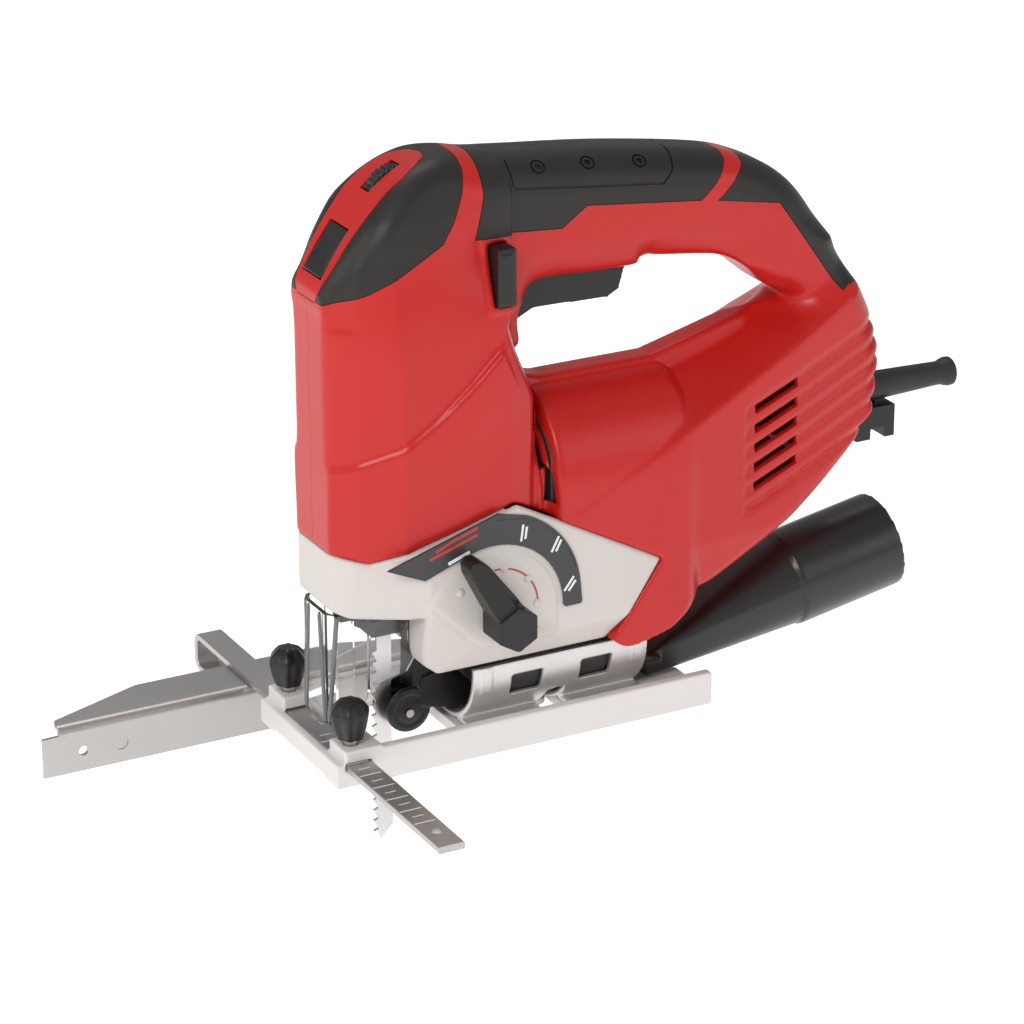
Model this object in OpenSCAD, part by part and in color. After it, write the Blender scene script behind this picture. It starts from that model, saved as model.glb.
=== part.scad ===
// Corded jigsaw: +X to the cord end, -Y to the left side, +Z up.
// The origin is where the blade crosses the underside of the base plate.

/* [Base plate] */
// Length of the base plate
base_len = 145; // [140:1:150]
// Width of the base plate
base_w = 62; // [62:1:64]
// Height of the base plate's side rims
rim_h = 12; // [11:0.5:12]
// Thickness of the base plate's floor
floor_t = 4; // [3.5:0.1:4]
// Height of the bevel tilt axis above the sole
tilt_z = 25; // [25:0.1:25.5]
// Radius of the round saddle that the base swings on
saddle_r = 19.5; // [19:0.1:19.5]
// Wall of the half-round cradle
cradle_t = 2; // [1.6:0.1:2]

/* [Body] */
// Half-width of the motor barrel
barrel_r = 31; // [30.5:0.1:31.5]
// Half-width of the handle
grip_half_w = 18; // [17:0.5:19]
// Wall thickness of the plastic shells
shell_t = 2.5; // [2:0.1:2.8]
// Height of the motor axis above the sole
motor_z = 88; // [87.5:0.1:88.5]

/* [Drive] */
// Tooth module of the pinion and the drive gear
tooth_module = 0.8; // [0.79:0.005:0.81]
// Teeth on the drive gear
gear_teeth = 55; // [54:1:56]
// Teeth on the armature pinion
pinion_teeth = 10; // [10:1:10]
// Radius of the crank pin circle, half the stroke
crank_r = 10; // [8:0.5:10]
// Diameter of the plunger rod
rod_d = 8; // [7.5:0.1:8]

/* [Blade] */
// Width of the saw blade, tooth tips to back
blade_w = 7.2; // [7:0.1:7.5]
// Thickness of the saw blade
blade_t = 1.2; // [1:0.1:1.4]
// Depth of the blade tip below the sole
blade_below = 39; // [30:1:45]
// Tooth pitch
tooth_pitch = 4; // [3:0.5:4]

/* [Parallel guide] */
// Width of the guide bar
bar_w = 9.4; // [9:0.1:9.6]
// Thickness of the guide bar
bar_t = 2.5; // [2:0.1:2.6]
// Height of the guide bar's top face above the sole
bar_top = 8.2; // [8:0.1:8.2]
// Length of the guide bar
bar_len = 195; // [180:1:200]
// Length of the fence
fence_len = 166; // [150:1:170]
// Height of the fence
fence_h = 17.7; // [15:0.1:18]

/* [Dust outlet] */
// Outer diameter of the hose socket
nozzle_od = 35; // [34:0.5:36]
// Wall of the hose socket
nozzle_wall = 2; // [1.8:0.1:2.5]

/* [Hidden] */
$fn = 64;
eps = 0.01;

// Colours
RED = [0.76, 0.12, 0.10];
GRIP = [0.18, 0.17, 0.16];
BLACK = [0.10, 0.10, 0.10];
CAST = [0.82, 0.80, 0.78];
SILVER = [0.88, 0.88, 0.88];
STEEL = [0.66, 0.67, 0.68];
ZINC = [0.75, 0.75, 0.76];
BRASS = [0.78, 0.62, 0.30];
COPPER = [0.72, 0.40, 0.22];
CLEAR = [0.85, 0.90, 0.92, 0.4];

// Base plate
base_x0 = -32;
base_x1 = base_x0 + base_len;
half_w = base_w / 2;
rim_t = 4;
throat_x0 = -15;
throat_x1 = 22;
bar_x = -24;
bridge_top = 13;
bridge_y = 24.5;
bar_play = 0.25;
cradle_x0 = 24;
cradle_x1 = 92;
cradle_gap = 0.3;
cradle_in = saddle_r + cradle_gap;
cradle_out = cradle_in + cradle_t;
cradle_rim = tilt_z + 3;
tunnel_r = cradle_out + 0.8;
tunnel_top = tilt_z + 18.2;
tilt_screw_x = 58;
tilt_screw_r = 3;
screw_room = 5.5;
saddle_x0 = 38;
saddle_x1 = 78;

// Drive
drive_x0 = 13;
drive_x1 = 20;
pinion_pitch_r = tooth_module * pinion_teeth / 2;
gear_pitch_r = tooth_module * gear_teeth / 2;
gear_z = motor_z + gear_pitch_r + pinion_pitch_r + 0.05;
pressure_angle = 27;
tooth_play = 0.16;
rod_r = rod_d / 2;
bush_r = 6.5;
lower_bush_z = [66, 77];
upper_bush_z = [146, 156];
frame_x0 = 25;
frame_x1 = 29;
bearing_r = 9.5;
bearing_len = 6;
shaft_r = 3;
core_r = 15;
stator_in = 15.8;
stator_out = 28.4;

// Blade and clamp
blade_back = 3;
blade_front = blade_back - blade_w;
clamp_z = [44, 53.6];
guard_t = 1.6;

// Pendulum
lever_x = 15;
lever_z = 50;
roller_x = 6.7;
roller_z = 10;
roller_r = 6;
roller_groove_r = 3.4;
knob_x = 28.8;
knob_z = 54;

// Nozzle
nozzle_tilt = 10.5;
nozzle_end = [201, 0, 34];
nozzle_r = nozzle_od / 2;
nozzle_bore_r = nozzle_r - nozzle_wall;
nozzle_bore_len = 42;
plug_x0 = 80;
plug_z1 = 14;

// Screw places on the body's side, as [x, z]
BODY_SCREWS = [[-15, 150], [41, 134], [136, 172], [176, 122], [120, 51], [158, 80]];

// Places shared by several sub-parts
skin_t = 1.6;
nose_strip_half = 9;
dial_x = 7;
dial_z = 193.6;
dial_r = 12.5;
sleeve_z = 94;
trigger_pivot = [86, 162];
sleeve_r = 5.2;
cord_r = 3.6;
sleeve_x0 = 175;
clip_x0 = 180.5;
clip_z0 = 80;
clip_z1 = 88;
rear_bearing_x = 118;
roller_half = 3.6;
fence_y = 46.5;
bar_y0 = -99;

// Places of the gear housing's screws, as [x, z]
GEAR_SCREWS = [[-4, 70], [14, 72], [58, 56], [80, 52]];

// A flat shape in the side view, drawn as [x, z], given its width from y0 to y1.
module side_cut(y0, y1) {
    translate([0, y1, 0]) rotate([90, 0, 0]) linear_extrude(y1 - y0) children();
}

// A flat shape in the front view, drawn as [y, z], given its length from x0 to x1.
module front_cut(x0, x1) {
    translate([x0, 0, 0]) rotate([90, 0, 90]) linear_extrude(x1 - x0) children();
}

// A round bar along X, from x0 to x1 at [y, z].
module rod_x(x0, x1, r, y = 0, z = 0) {
    translate([x0, y, z]) rotate([0, 90, 0]) cylinder(h = x1 - x0, r = r);
}

// A round bar along Y, from y0 to y1 at [x, z].
module rod_y(y0, y1, r, x = 0, z = 0) {
    translate([x, y1, z]) rotate([90, 0, 0]) cylinder(h = y1 - y0, r = r);
}

// A block from its two opposite corners.
module block(a, b) {
    translate(a) cube(b - a);
}

// A shape on the right side and its mirror image on the left.
module both_sides() {
    children();
    mirror([0, 1, 0]) children();
}

// The angle between the centre line and an involute flank, for roll angle a.
function involute(a) = tan(a) * 180 / PI - a;

// One flank's half angle at radius r, for a gear with n teeth.
function flank_angle(r, n) =
    let (pitch_r = tooth_module * n / 2, base_r = pitch_r * cos(pressure_angle))
    90 / n - tooth_play / pitch_r * 90 / PI + involute(pressure_angle)
    - involute(acos(min(1, base_r / r)));

// A spur gear outline with n teeth, a tooth centred on angle 0.
module gear_outline(n) {
    pitch_r = tooth_module * n / 2;
    tip_r = pitch_r + 0.9 * tooth_module;
    root_r = pitch_r - 1.2 * tooth_module;
    start_r = max(root_r, pitch_r * cos(pressure_angle));
    steps = 4;
    radii = [for (i = [0 : steps]) start_r + (tip_r - start_r) * i / steps];
    points = [for (k = [0 : n - 1]) let (mid = 360 * k / n) each concat(
        [root_r * [cos(mid - flank_angle(start_r, n)), sin(mid - flank_angle(start_r, n))]],
        [for (r = radii) r * [cos(mid - flank_angle(r, n)), sin(mid - flank_angle(r, n))]],
        [for (i = [steps : -1 : 0]) let (r = radii[i]) r * [cos(mid + flank_angle(r, n)),
            sin(mid + flank_angle(r, n))]],
        [root_r * [cos(mid + flank_angle(start_r, n)), sin(mid + flank_angle(start_r, n))]])];
    polygon(points);
}

// The body's outline from the side, without the handle's opening.
module body_outline() {
    polygon([[-25, 77], [-14, 74.5], [37, 89], [93.5, 58.5], [74, 32], [81, 28], [96, 31], [114, 39],
        [142, 55], [164, 70], [182, 84], [189, 99], [191, 112], [186, 128], [163, 173], [152, 183],
        [141, 188], [122, 194], [84, 200], [37, 205], [24, 208], [11, 206.5], [0, 200], [-12, 187],
        [-24, 170], [-25, 163]]);
}

// The handle's opening from the side, wider by g all round.
module opening_outline(g) {
    polygon([[47 - g, 147 + g], [52 - g, 132], [60 - g, 122 - g], [122, 120 - g], [138, 124 - g],
        [155 + g, 134 - g], [153 + g, 139 + g], [139, 151 + g], [90, 157 + g], [62, 155 + g], [50, 153 + g]]);
}

// The body's outer form, less g on every face.
module body_form(g) {
    intersection() {
        side_cut(-40, 40) difference() {
            offset(delta = -g) body_outline();
            opening_outline(g);
        }
        union() {
            nose_block(g);
            rod_x(44 + g, 112 - g, barrel_r - g, 0, motor_z);
            rear_block(g);
            handle_block(g);
        }
    }
}

// The upright nose column: its plan, narrowed towards the top.
module nose_block(g) {
    intersection() {
        translate([0, 0, 70]) linear_extrude(142)
            polygon([[-25 + g, -12], [-17 + g, -20 + g], [0, -27.5 + g], [36, -27.5 + g], [52 - g, -20],
                [52 - g, 20], [36, 27.5 - g], [0, 27.5 - g], [-17 + g, 20 - g], [-25 + g, 12]]);
        front_cut(-30, 60) polygon([[g - 28, 60], [g - 28, 125], [g - 25, 165], [g - 20, 193], [g - 12, 212],
            [12 - g, 212], [20 - g, 193], [25 - g, 165], [28 - g, 125], [28 - g, 60]]);
    }
}

// The rear of the body, tapering to the cord end, in plan.
module rear_block(g) {
    intersection() {
        translate([0, 0, 20]) linear_extrude(112 - g)
            polygon([[30, -29 + g], [100, -29 + g], [192 - g, -17 + g],
                [192 - g, 17 - g], [100, 29 - g], [30, 29 - g]]);
        front_cut(20, 200)
            polygon([[g - 31, 140], [g - 31, 42], [g - 24, 29], [g - 24, 20],
                [24 - g, 20], [24 - g, 29], [31 - g, 42], [31 - g, 140]]);
    }
}

// The handle and the rear post, with broken edges.
module handle_block(g) {
    w = grip_half_w - g;
    front_cut(20, 192) polygon([[-w, 110], [w, 110], [w, 188], [w - 8, 202], [8 - w, 202], [-w, 188]]);
}

// The room that the base's cradle needs as it swings.
module tilt_tunnel() {
    intersection() {
        rod_x(cradle_x0 - 2, cradle_x1 + 2, tunnel_r, 0, tilt_z);
        block([cradle_x0 - 3, -30, 0], [cradle_x1 + 3, 30, tunnel_top]);
    }
}

// The hollow in one shell, with its screw posts left standing.
module shell_hollow() {
    difference() {
        body_form(shell_t);
        for (p = BODY_SCREWS) rod_y(-30, 30, 4, p.x, p.y);
    }
}

// The slanted louvre slots over the motor's rear end.
module louvres() {
    for (i = [0 : 4]) side_cut(-40, 40) translate([131, 77 + 6.6 * i])
        polygon([[0, 0], [21, 7.5], [21, 10.9], [0, 3.4]]);
}

// Everything that breaks through the outer shells.
module shell_openings() {
    tilt_tunnel();
    drive_bay();
    louvres();
    both_sides() for (z = [84, 98, 112]) block([46.3, 15, z - 5], [48.7, 33, z + 5]);
    block([45.5, -7, 140], [91.5, 7, 168]);
    lock_seat(0.35);
    rod_y(-4.2, 4.2, dial_r + 0.5, dial_x, dial_z);
    top_button_place() block([-9.3, -6.8, -12], [9.3, 6.8, 8]);
    rod_x(180, 200, sleeve_r + 0.05, 0, sleeve_z);
    block([clip_x0 - 0.05, -6.05, clip_z0 - 0.05], [210, 6.05, clip_z1 + 0.05]);
    skin(0) nose_region();
    skin(0) grip_region();
    skin(0) rear_grip_region();
}

// The room through the seam with the gear housing, for the rod, the gears, the fan and the motor.
module drive_bay() {
    block([-8, -21, 60], [frame_x0 + 8.1, 21, 100]);
    block([8, -25, 80], [frame_x0, 25, 100]);
    rod_x(frame_x0 + 8, 50, 25.5, 0, motor_z);
    rod_x(50, 112, barrel_r - shell_t, 0, motor_z);
}

// One shell, between y0 and y1.
module shell_half(y0, y1) {
    difference() {
        intersection() {
            body_form(0);
            block([-60, y0, -10], [240, y1, 240]);
        }
        shell_hollow();
        shell_openings();
        for (p = BODY_SCREWS) body_screw(p, 0.05, 45);
    }
}

// A body screw from the right: thread, head and the counterbore up to y1.
module body_screw(p, g, y1) {
    rod_y(-13 - g, 15, 1.6 + g, p.x, p.y);
    rod_y(15 - eps, y1, 3 + g, p.x, p.y);
}

// The left body shell.
module housing_left() {
    color(RED) shell_half(-45, 0);
}

// The right body shell, which carries the screw heads.
module housing_right() {
    color(RED) shell_half(0, 45);
}

// The screws that hold the two shells together.
module housing_screws() {
    color(STEEL) for (p = BODY_SCREWS) body_screw(p, 0, 18);
}

// A soft skin on the body: the outer skin_t of the body inside a side-view region.
module skin(inner) {
    difference() {
        side_cut(-45, 45) children();
        body_form(skin_t);
        if (inner > 0) block([-60, -inner, 150], [240, inner, 240]);
    }
}

// Where the dark cheeks lie on the nose.
module nose_region() {
    polygon([[-40, 164], [-12, 169], [13, 182], [22, 198], [24, 215], [-40, 215]]);
}

// Where the dark grip lies on the handle.
module grip_region() {
    polygon([[29, 215], [26, 181], [61, 179.5], [70, 186.5], [113, 182], [126, 191], [131, 215]]);
}

// Where the dark grip lies on the rear post.
module rear_grip_region() {
    polygon([[136, 215], [133, 190], [128, 178], [146, 174], [168, 141], [195, 136], [200, 215]]);
}

// The soft cheeks on both sides of the nose.
module nose_cheeks() {
    color(GRIP) intersection() {
        body_form(0);
        difference() {
            skin(nose_strip_half) nose_region();
            top_button_place() block([-9.3, -6.8, -12], [9.3, 6.8, 8]);
            screw_counterbores();
        }
    }
}

// The red strip between the cheeks, with the dial and the button in it.
module nose_strip() {
    color(RED) intersection() {
        body_form(0);
        block([-60, -nose_strip_half, 150], [60, nose_strip_half, 240]);
        difference() {
            skin(0) nose_region();
            rod_y(-4.2, 4.2, dial_r + 0.5, dial_x, dial_z);
            top_button_place() block([-9.3, -6.8, -12], [9.3, 6.8, 8]);
        }
    }
}

// The screw counterbores in a skin.
module screw_counterbores() {
    for (p = BODY_SCREWS) rod_y(15, 45, 3.05, p.x, p.y);
}

// The soft grip over the handle.
module handle_grip() {
    color(GRIP) intersection() {
        body_form(0);
        difference() {
            skin(0) grip_region();
            screw_counterbores();
        }
    }
}

// The soft grip over the rear post.
module rear_grip() {
    color(GRIP) intersection() {
        body_form(0);
        difference() {
            skin(0) rear_grip_region();
            screw_counterbores();
        }
    }
}

// The gear housing from the side.
module gear_housing_outline() {
    polygon([[-25, 77], [-25, 57], [-20, 54.5], [3, 54], [3, 38], [9, 31], [73.3, 31], [74, 32], [93.5, 58.5],
        [37, 89], [-14, 74.5]]);
}

// The slot that the pendulum lever hangs and swings in.
module lever_slot() {
    block([8.5, -7, 20], [34, 7, 61]);
    block([8.5, -10, 20], [37.9, 10, 44]);
}

// The cast housing over the blade clamp and the pendulum gear.
module gear_housing() {
    color(CAST) difference() {
        intersection() {
            side_cut(-31, 31) gear_housing_outline();
            translate([0, 0, 20]) linear_extrude(80)
                polygon([[-25, -14], [-19, -19], [-4, -27], [4, -30.5], [80, -30.5], [95, -29], [95, 29],
                    [80, 30.5], [4, 30.5], [-4, 27], [-19, 19], [-25, 14]]);
            front_cut(-30, 100)
                polygon([[-30.5, 42], [-24, 30], [24, 30], [30.5, 42], [30.5, 95], [-30.5, 95]]);
        }
        tilt_tunnel();
        lever_slot();
        block([-21.5, -15.5, 20], [11.5, 15.5, 64.5]);
        rod_x(33, 112, barrel_r - shell_t, 0, motor_z);
        block([frame_x0 - 0.05, -20.05, 62], [33.05, 20.05, 95]);
        block([8, -25, 80], [frame_x0, 25, 95]);
        translate([0, 0, 60]) cylinder(h = 40, r = rod_r + 0.6);
        translate([0, 0, 64.4]) cylinder(h = 40, r = bush_r);
        rod_y(-31, -7, 4.05, knob_x, knob_z);
        rod_y(-12, 12, 2.5, lever_x, lever_z);
        for (p = GEAR_SCREWS) gear_screw(p, 0.02, 31);
        saddle_bolts(0.02);
    }
}

// A gear housing screw, from the right, with its head or counterbore up to y1.
module gear_screw(p, g, y1) {
    rod_y(12 - g, 26 + eps, 1.6 + g, p.x, p.y);
    rod_y(26, y1, 3 + g, p.x, p.y);
}

// The screws in the gear housing's side.
module gear_housing_screws() {
    color(STEEL) for (p = GEAR_SCREWS) gear_screw(p, 0, 28.5);
}

// The dial plate with the pendulum steps, on the gear housing's left side.
module step_plate() {
    color(GRIP) side_cut(-31.3, -30.5) difference() {
        polygon([[-12.5, 74.5], [28, 86.5], [36, 85], [44, 80], [51, 72], [54, 62], [53.5, 54], [46, 54],
            [45.5, 61], [42, 67], [36, 71], [29, 72], [20, 76], [0, 71.5]]);
        translate([knob_x, knob_z]) circle(r = 14);
    }
}

// The half-round saddle under the gear housing.
module saddle() {
    color(CAST) difference() {
        intersection() {
            rod_x(saddle_x0, saddle_x1, saddle_r, 0, tilt_z);
            block([0, -30, 0], [100, 30, tunnel_top]);
        }
        translate([tilt_screw_x, 0, 0]) cylinder(h = 19, r = tilt_screw_r + 0.05);
        saddle_bolts(0.02);
    }
}

// The bolts from the gear housing down into the saddle.
module saddle_bolts(g) {
    for (x = [saddle_x0 + 8, saddle_x1 - 8]) translate([x, 0, 0]) {
        translate([0, 0, 30 - g]) cylinder(h = 22, r = 2 + g);
        translate([0, 0, 52 - eps]) cylinder(h = 3 + 10 * g, r = 3.6 + g);
    }
}

// The bolts that hold the saddle.
module saddle_screws() {
    color(STEEL) saddle_bolts(0);
}

// The hex socket screw that locks the bevel, seen from below.
module tilt_screw() {
    color(STEEL) translate([tilt_screw_x, 0, 0]) difference() {
        union() {
            translate([0, 0, 0.6]) cylinder(h = 2.3, r = 4.6);
            translate([0, 0, 0.6]) cylinder(h = 16.4, r = tilt_screw_r);
        }
        cylinder(h = 2.6, r = 2.3, $fn = 6);
    }
}

// The bearing bracket: an upright plate with the arm that holds the upper bush.
module gear_frame() {
    color(CAST) difference() {
        union() {
            block([frame_x0, -20, 62], [frame_x1, 20, 144]);
            block([-8, -9, 144], [frame_x1, 9, 158]);
            rod_x(frame_x0, 33, 13, 0, motor_z);
        }
        rod_x(frame_x0 - 1, 40, 5, 0, motor_z);
        rod_x(frame_x0 + 2, 40, bearing_r, 0, motor_z);
        rod_x(frame_x0 - 1, frame_x1 + 1, 4, 0, gear_z);
        translate([0, 0, 140]) cylinder(h = 20, r = bush_r);
    }
}

// The fixed axle of the drive gear.
module gear_axle() {
    color(STEEL) rod_x(drive_x0 - 0.4, frame_x1, 4, 0, gear_z);
}

// A sintered bush from z.x to z.y.
module bush(z) {
    translate([0, 0, z[0]]) difference() {
        cylinder(h = z[1] - z[0], r = bush_r);
        translate([0, 0, -1]) cylinder(h = z[1] - z[0] + 2, r = rod_r + 0.05);
    }
}

// The two bushes that the plunger slides in.
module plunger_bushes() {
    color(BRASS) {
        bush(lower_bush_z);
        bush(upper_bush_z);
    }
}

// The felt ring that keeps dust out of the lower bush.
module dust_seal() {
    color(GRIP) translate([0, 0, 64.4]) difference() {
        cylinder(h = 1.6, r = bush_r);
        translate([0, 0, -1]) cylinder(h = 4, r = rod_r + 0.2);
    }
}

// A ball bearing along X from x0.
module ball_bearing(x0) {
    difference() {
        rod_x(x0, x0 + bearing_len, bearing_r, 0, motor_z);
        rod_x(x0 - 1, x0 + 10, shaft_r + 0.02, 0, motor_z);
        for (x = [x0 - 1, x0 + bearing_len - 0.6]) difference() {
            rod_x(x, x + 1.6, 7.4, 0, motor_z);
            rod_x(x - 1, x + 3, 4.8, 0, motor_z);
        }
    }
}

// The armature's front bearing.
module front_bearing() {
    color(STEEL) ball_bearing(frame_x0 + 2);
}

// The armature's rear bearing.
module rear_bearing() {
    color(STEEL) ball_bearing(rear_bearing_x);
}

// The rubber cup around the rear bearing, held by ribs in the shells.
module bearing_cup() {
    color(BLACK) difference() {
        rod_x(rear_bearing_x, rear_bearing_x + bearing_len + 2, bearing_r + 2, 0, motor_z);
        rod_x(rear_bearing_x - 1, rear_bearing_x + bearing_len, bearing_r, 0, motor_z);
        rod_x(rear_bearing_x, rear_bearing_x + 20, shaft_r + 1, 0, motor_z);
    }
}

// The laminated field core, fixed in the shells.
module field_core() {
    color(STEEL) difference() {
        intersection() {
            rod_x(52, 86, stator_out, 0, motor_z);
            block([50, -25, 60], [90, 25, 120]);
        }
        rod_x(50, 90, stator_in, 0, motor_z);
        both_sides() block([51, 17.5, motor_z - 10], [87, 22.5, motor_z + 10]);
    }
}

// The field windings, in the core's side slots and out past its ends.
module field_coils() {
    color(COPPER) both_sides() difference() {
        union() {
            block([47.5, 17.6, motor_z - 9.9], [51.9, 22.4, motor_z + 9.9]);
            block([51.8, 17.6, motor_z - 9.9], [86.2, 22.4, motor_z + 9.9]);
            block([86.1, 17.6, motor_z - 9.9], [90.5, 22.4, motor_z + 9.9]);
        }
        rod_x(40, 95, stator_in, 0, motor_z);
    }
}

// The brass guides for the carbon brushes, either side of the commutator.
module brush_guides() {
    color(BRASS) both_sides() difference() {
        block([99, 13, motor_z - 4.2], [109, 24, motor_z + 4.2]);
        block([101, 10, motor_z - 3.1], [107, 22.8, motor_z + 3.1]);
    }
}

// The carbon brushes.
module carbon_brushes() {
    color(GRIP) both_sides() block([101.1, 11.3, motor_z - 3], [106.9, 20, motor_z + 3]);
}

// The armature shaft with the pinion cut on its front end.
module armature_shaft() {
    color(STEEL) {
        rod_x(drive_x1, rear_bearing_x + bearing_len, shaft_r, 0, motor_z);
        translate([drive_x0 - 0.5, 0, motor_z]) rotate([90, 0, 90]) linear_extrude(drive_x1 - drive_x0 + 2)
            rotate(90 + 180 / pinion_teeth) gear_outline(pinion_teeth);
    }
}

// The armature's laminated core, with its winding slots.
module armature_core() {
    color(STEEL) difference() {
        rod_x(52, 86, core_r, 0, motor_z);
        rod_x(50, 90, shaft_r, 0, motor_z);
        for (k = [0 : 11]) translate([0, 0, motor_z]) rotate([30 * k, 0, 0]) block([51, -1, 9], [87, 1, 16]);
    }
}

// The armature windings: bars in the slots and the two end heads.
module armature_windings() {
    color(COPPER) {
        for (k = [0 : 11]) translate([0, 0, motor_z]) rotate([30 * k, 0, 0])
            block([51, -0.95, 9.1], [87, 0.95, 14]);
        for (x = [47.5, 86.1]) difference() {
            rod_x(x, x + 4.4, 14, 0, motor_z);
            rod_x(x - 1, x + 6, shaft_r + 0.5, 0, motor_z);
        }
    }
}

// The commutator.
module commutator() {
    color(COPPER) difference() {
        rod_x(96, 112, 11, 0, motor_z);
        rod_x(90, 120, shaft_r, 0, motor_z);
        for (k = [0 : 23]) translate([0, 0, motor_z]) rotate([15 * k, 0, 0])
            block([95, -0.25, 10.2], [113, 0.25, 12]);
    }
}

// The cooling fan behind the front bearing.
module fan() {
    color(BLACK) difference() {
        union() {
            rod_x(43.5, 45.5, 23, 0, motor_z);
            rod_x(36, 44, 6, 0, motor_z);
            for (k = [0 : 8]) translate([0, 0, motor_z]) rotate([40 * k, 0, 0])
                block([37, -0.8, 5], [44, 0.8, 22.5]);
        }
        rod_x(30, 50, shaft_r, 0, motor_z);
    }
}

// The drive gear.
module drive_gear() {
    color(STEEL) translate([drive_x0, 0, gear_z]) rotate([90, 0, 90]) difference() {
        linear_extrude(drive_x1 - drive_x0) rotate(-90) gear_outline(gear_teeth);
        translate([0, 0, -1]) cylinder(h = 20, r = 4.05);
        translate([0, crank_r, -1]) cylinder(h = 20, r = 3);
        for (a = [210, 330]) rotate(a) translate([13, 0, -1]) cylinder(h = 20, r = 3.5);
    }
}

// The crank pin in the drive gear, cut short of the yoke.
module crank_pin() {
    color(STEEL) rod_x(9, drive_x1, 3, 0, gear_z + crank_r);
}

// The balance weight behind the drive gear, opposite the crank pin.
module balance_weight() {
    color(CAST) translate([drive_x1, 0, gear_z]) rotate([90, 0, 90]) difference() {
        cylinder(h = 3.6, r = 19.5);
        translate([0, 0, -1]) cylinder(h = 10, r = 5);
        translate([-30, -2, -1]) cube([60, 40, 10]);
    }
}

// The plunger rod.
module plunger_rod() {
    color(STEEL) translate([0, 0, clamp_z[0] + 2]) cylinder(h = 122, r = rod_r);
}

// The slotted yoke that the crank pin drives.
module yoke() {
    color(STEEL) difference() {
        union() {
            block([3, -15, gear_z - 7], [8.3, 15, gear_z + 7]);
            translate([0, 0, gear_z - 7]) cylinder(h = 14, r = rod_r + 2.5);
        }
        translate([0, 0, gear_z - 10]) cylinder(h = 20, r = rod_r);
        side_cut(-11.5, 11.5) translate([5, gear_z - 3.3]) square([4, 6.6]);
    }
}

// The blade clamp on the plunger's foot.
module blade_clamp() {
    color(GRIP) difference() {
        union() {
            block([-4, -7, clamp_z[0]], [8, 7, clamp_z[1]]);
            translate([-4, 0, clamp_z[0]]) cylinder(h = 2.8, r = 7);
            translate([-4, 0, clamp_z[0]]) cylinder(h = clamp_z[1] - clamp_z[0], r = 5.4);
            block([-6, -5, clamp_z[0] - 4], [5, 5, clamp_z[0] + eps]);
        }
        translate([0, 0, clamp_z[0] + 2]) cylinder(h = 20, r = rod_r);
        block([blade_front - 0.1, -blade_t / 2, 30], [blade_back + 0.1, blade_t / 2, clamp_z[0] + 2]);
    }
}

// The turning lever that opens the blade clamp.
module clamp_lever() {
    color(BLACK) translate([-4, 0, clamp_z[0] + 3.1]) difference() {
        union() {
            intersection() {
                cylinder(h = 6.3, r = 8);
                block([-20, -20, -1], [-5.3, 20, 10]);
            }
            block([-13, -3, 0], [-7, 3, 6.3]);
        }
        translate([0, 0, -1]) cylinder(h = 10, r = 5.6);
    }
}

// The saw blade: a toothed strip with an angled tip.
module saw_blade() {
    teeth = floor((blade_below + 33) / tooth_pitch);
    color(STEEL) side_cut(-blade_t / 2, blade_t / 2) polygon(concat(
        [[blade_back, clamp_z[0] + 1.9], [blade_front + 1.6, clamp_z[0] + 1.9]],
        [for (i = [0 : teeth - 1]) let (z = 33 - tooth_pitch * i) each
            [[blade_front + 1.7, z], [blade_front, z - 0.6]]],
        [[blade_front + 1.7, -blade_below + 3], [blade_front + 2.6, -blade_below],
            [blade_back, -blade_below + 5]]));
}

// The clear guard around the blade's front, clipped up into the gear housing.
module blade_guard() {
    color(CLEAR) difference() {
        intersection() {
            guard_form(0, 8, 60);
            union() {
                rod_x(-30, -10, 14, 0, tilt_z);
                block([-30, -20, tilt_z], [30, 20, 53.6]);
            }
            side_cut(-30, 30) polygon([[-27, 9], [-14, 9], [-12, 26], [2, 30], [7, 38], [2.6, 41],
                [2.6, 53.6], [-27, 53.6]]);
        }
        guard_form(guard_t, 0, 80);
    }
}

// The guard's plan, less g all round, from z0 to z1; it widens behind the guide's knobs.
module guard_form(g, z0, z1) {
    translate([0, 0, z0]) linear_extrude(z1 - z0)
        polygon([[-25 + g, -8 + g / 2], [-22, -11.5 + g], [-16, -12 + g], [-12, -15.3 + g], [20, -15.3 + g],
            [20, 15.3 - g], [-12, 15.3 - g], [-16, 12 - g], [-22, 11.5 - g], [-25 + g, 8 - g / 2]]);
}

// The pin that the pendulum lever swings on.
module lever_pin() {
    color(STEEL) rod_y(-12, 12, 2.5, lever_x, lever_z);
}

// The pendulum lever: it hangs from its pin and carries the guide roller in a fork.
module pendulum_lever() {
    color(BLACK) difference() {
        union() {
            rod_y(-5.5, 5.5, 4.5, lever_x, lever_z);
            block([12.5, -5.5, 24], [17.5, 5.5, lever_z]);
            side_cut(-7, 7) polygon([[12.5, 26], [12.5, 17], [4.2, 12.5], [3.4, 9.5], [5.5, 6.4], [9, 6.2],
                [22, 9], [31, 8.6], [34.5, 11], [30, 19], [20, 26]]);
        }
        rod_y(-10, 10, 2.55, lever_x, lever_z);
        rod_y(-roller_half - 0.4, roller_half + 0.4, roller_r + 0.8, roller_x, roller_z);
        block([-5, -roller_half - 0.4, 0], [roller_x, roller_half + 0.4, 18]);
        rod_y(-10, 10, 1.5, roller_x, roller_z);
    }
}

// The axle of the guide roller.
module roller_axle() {
    color(STEEL) rod_y(-7.8, 7.8, 1.5, roller_x, roller_z);
}

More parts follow.
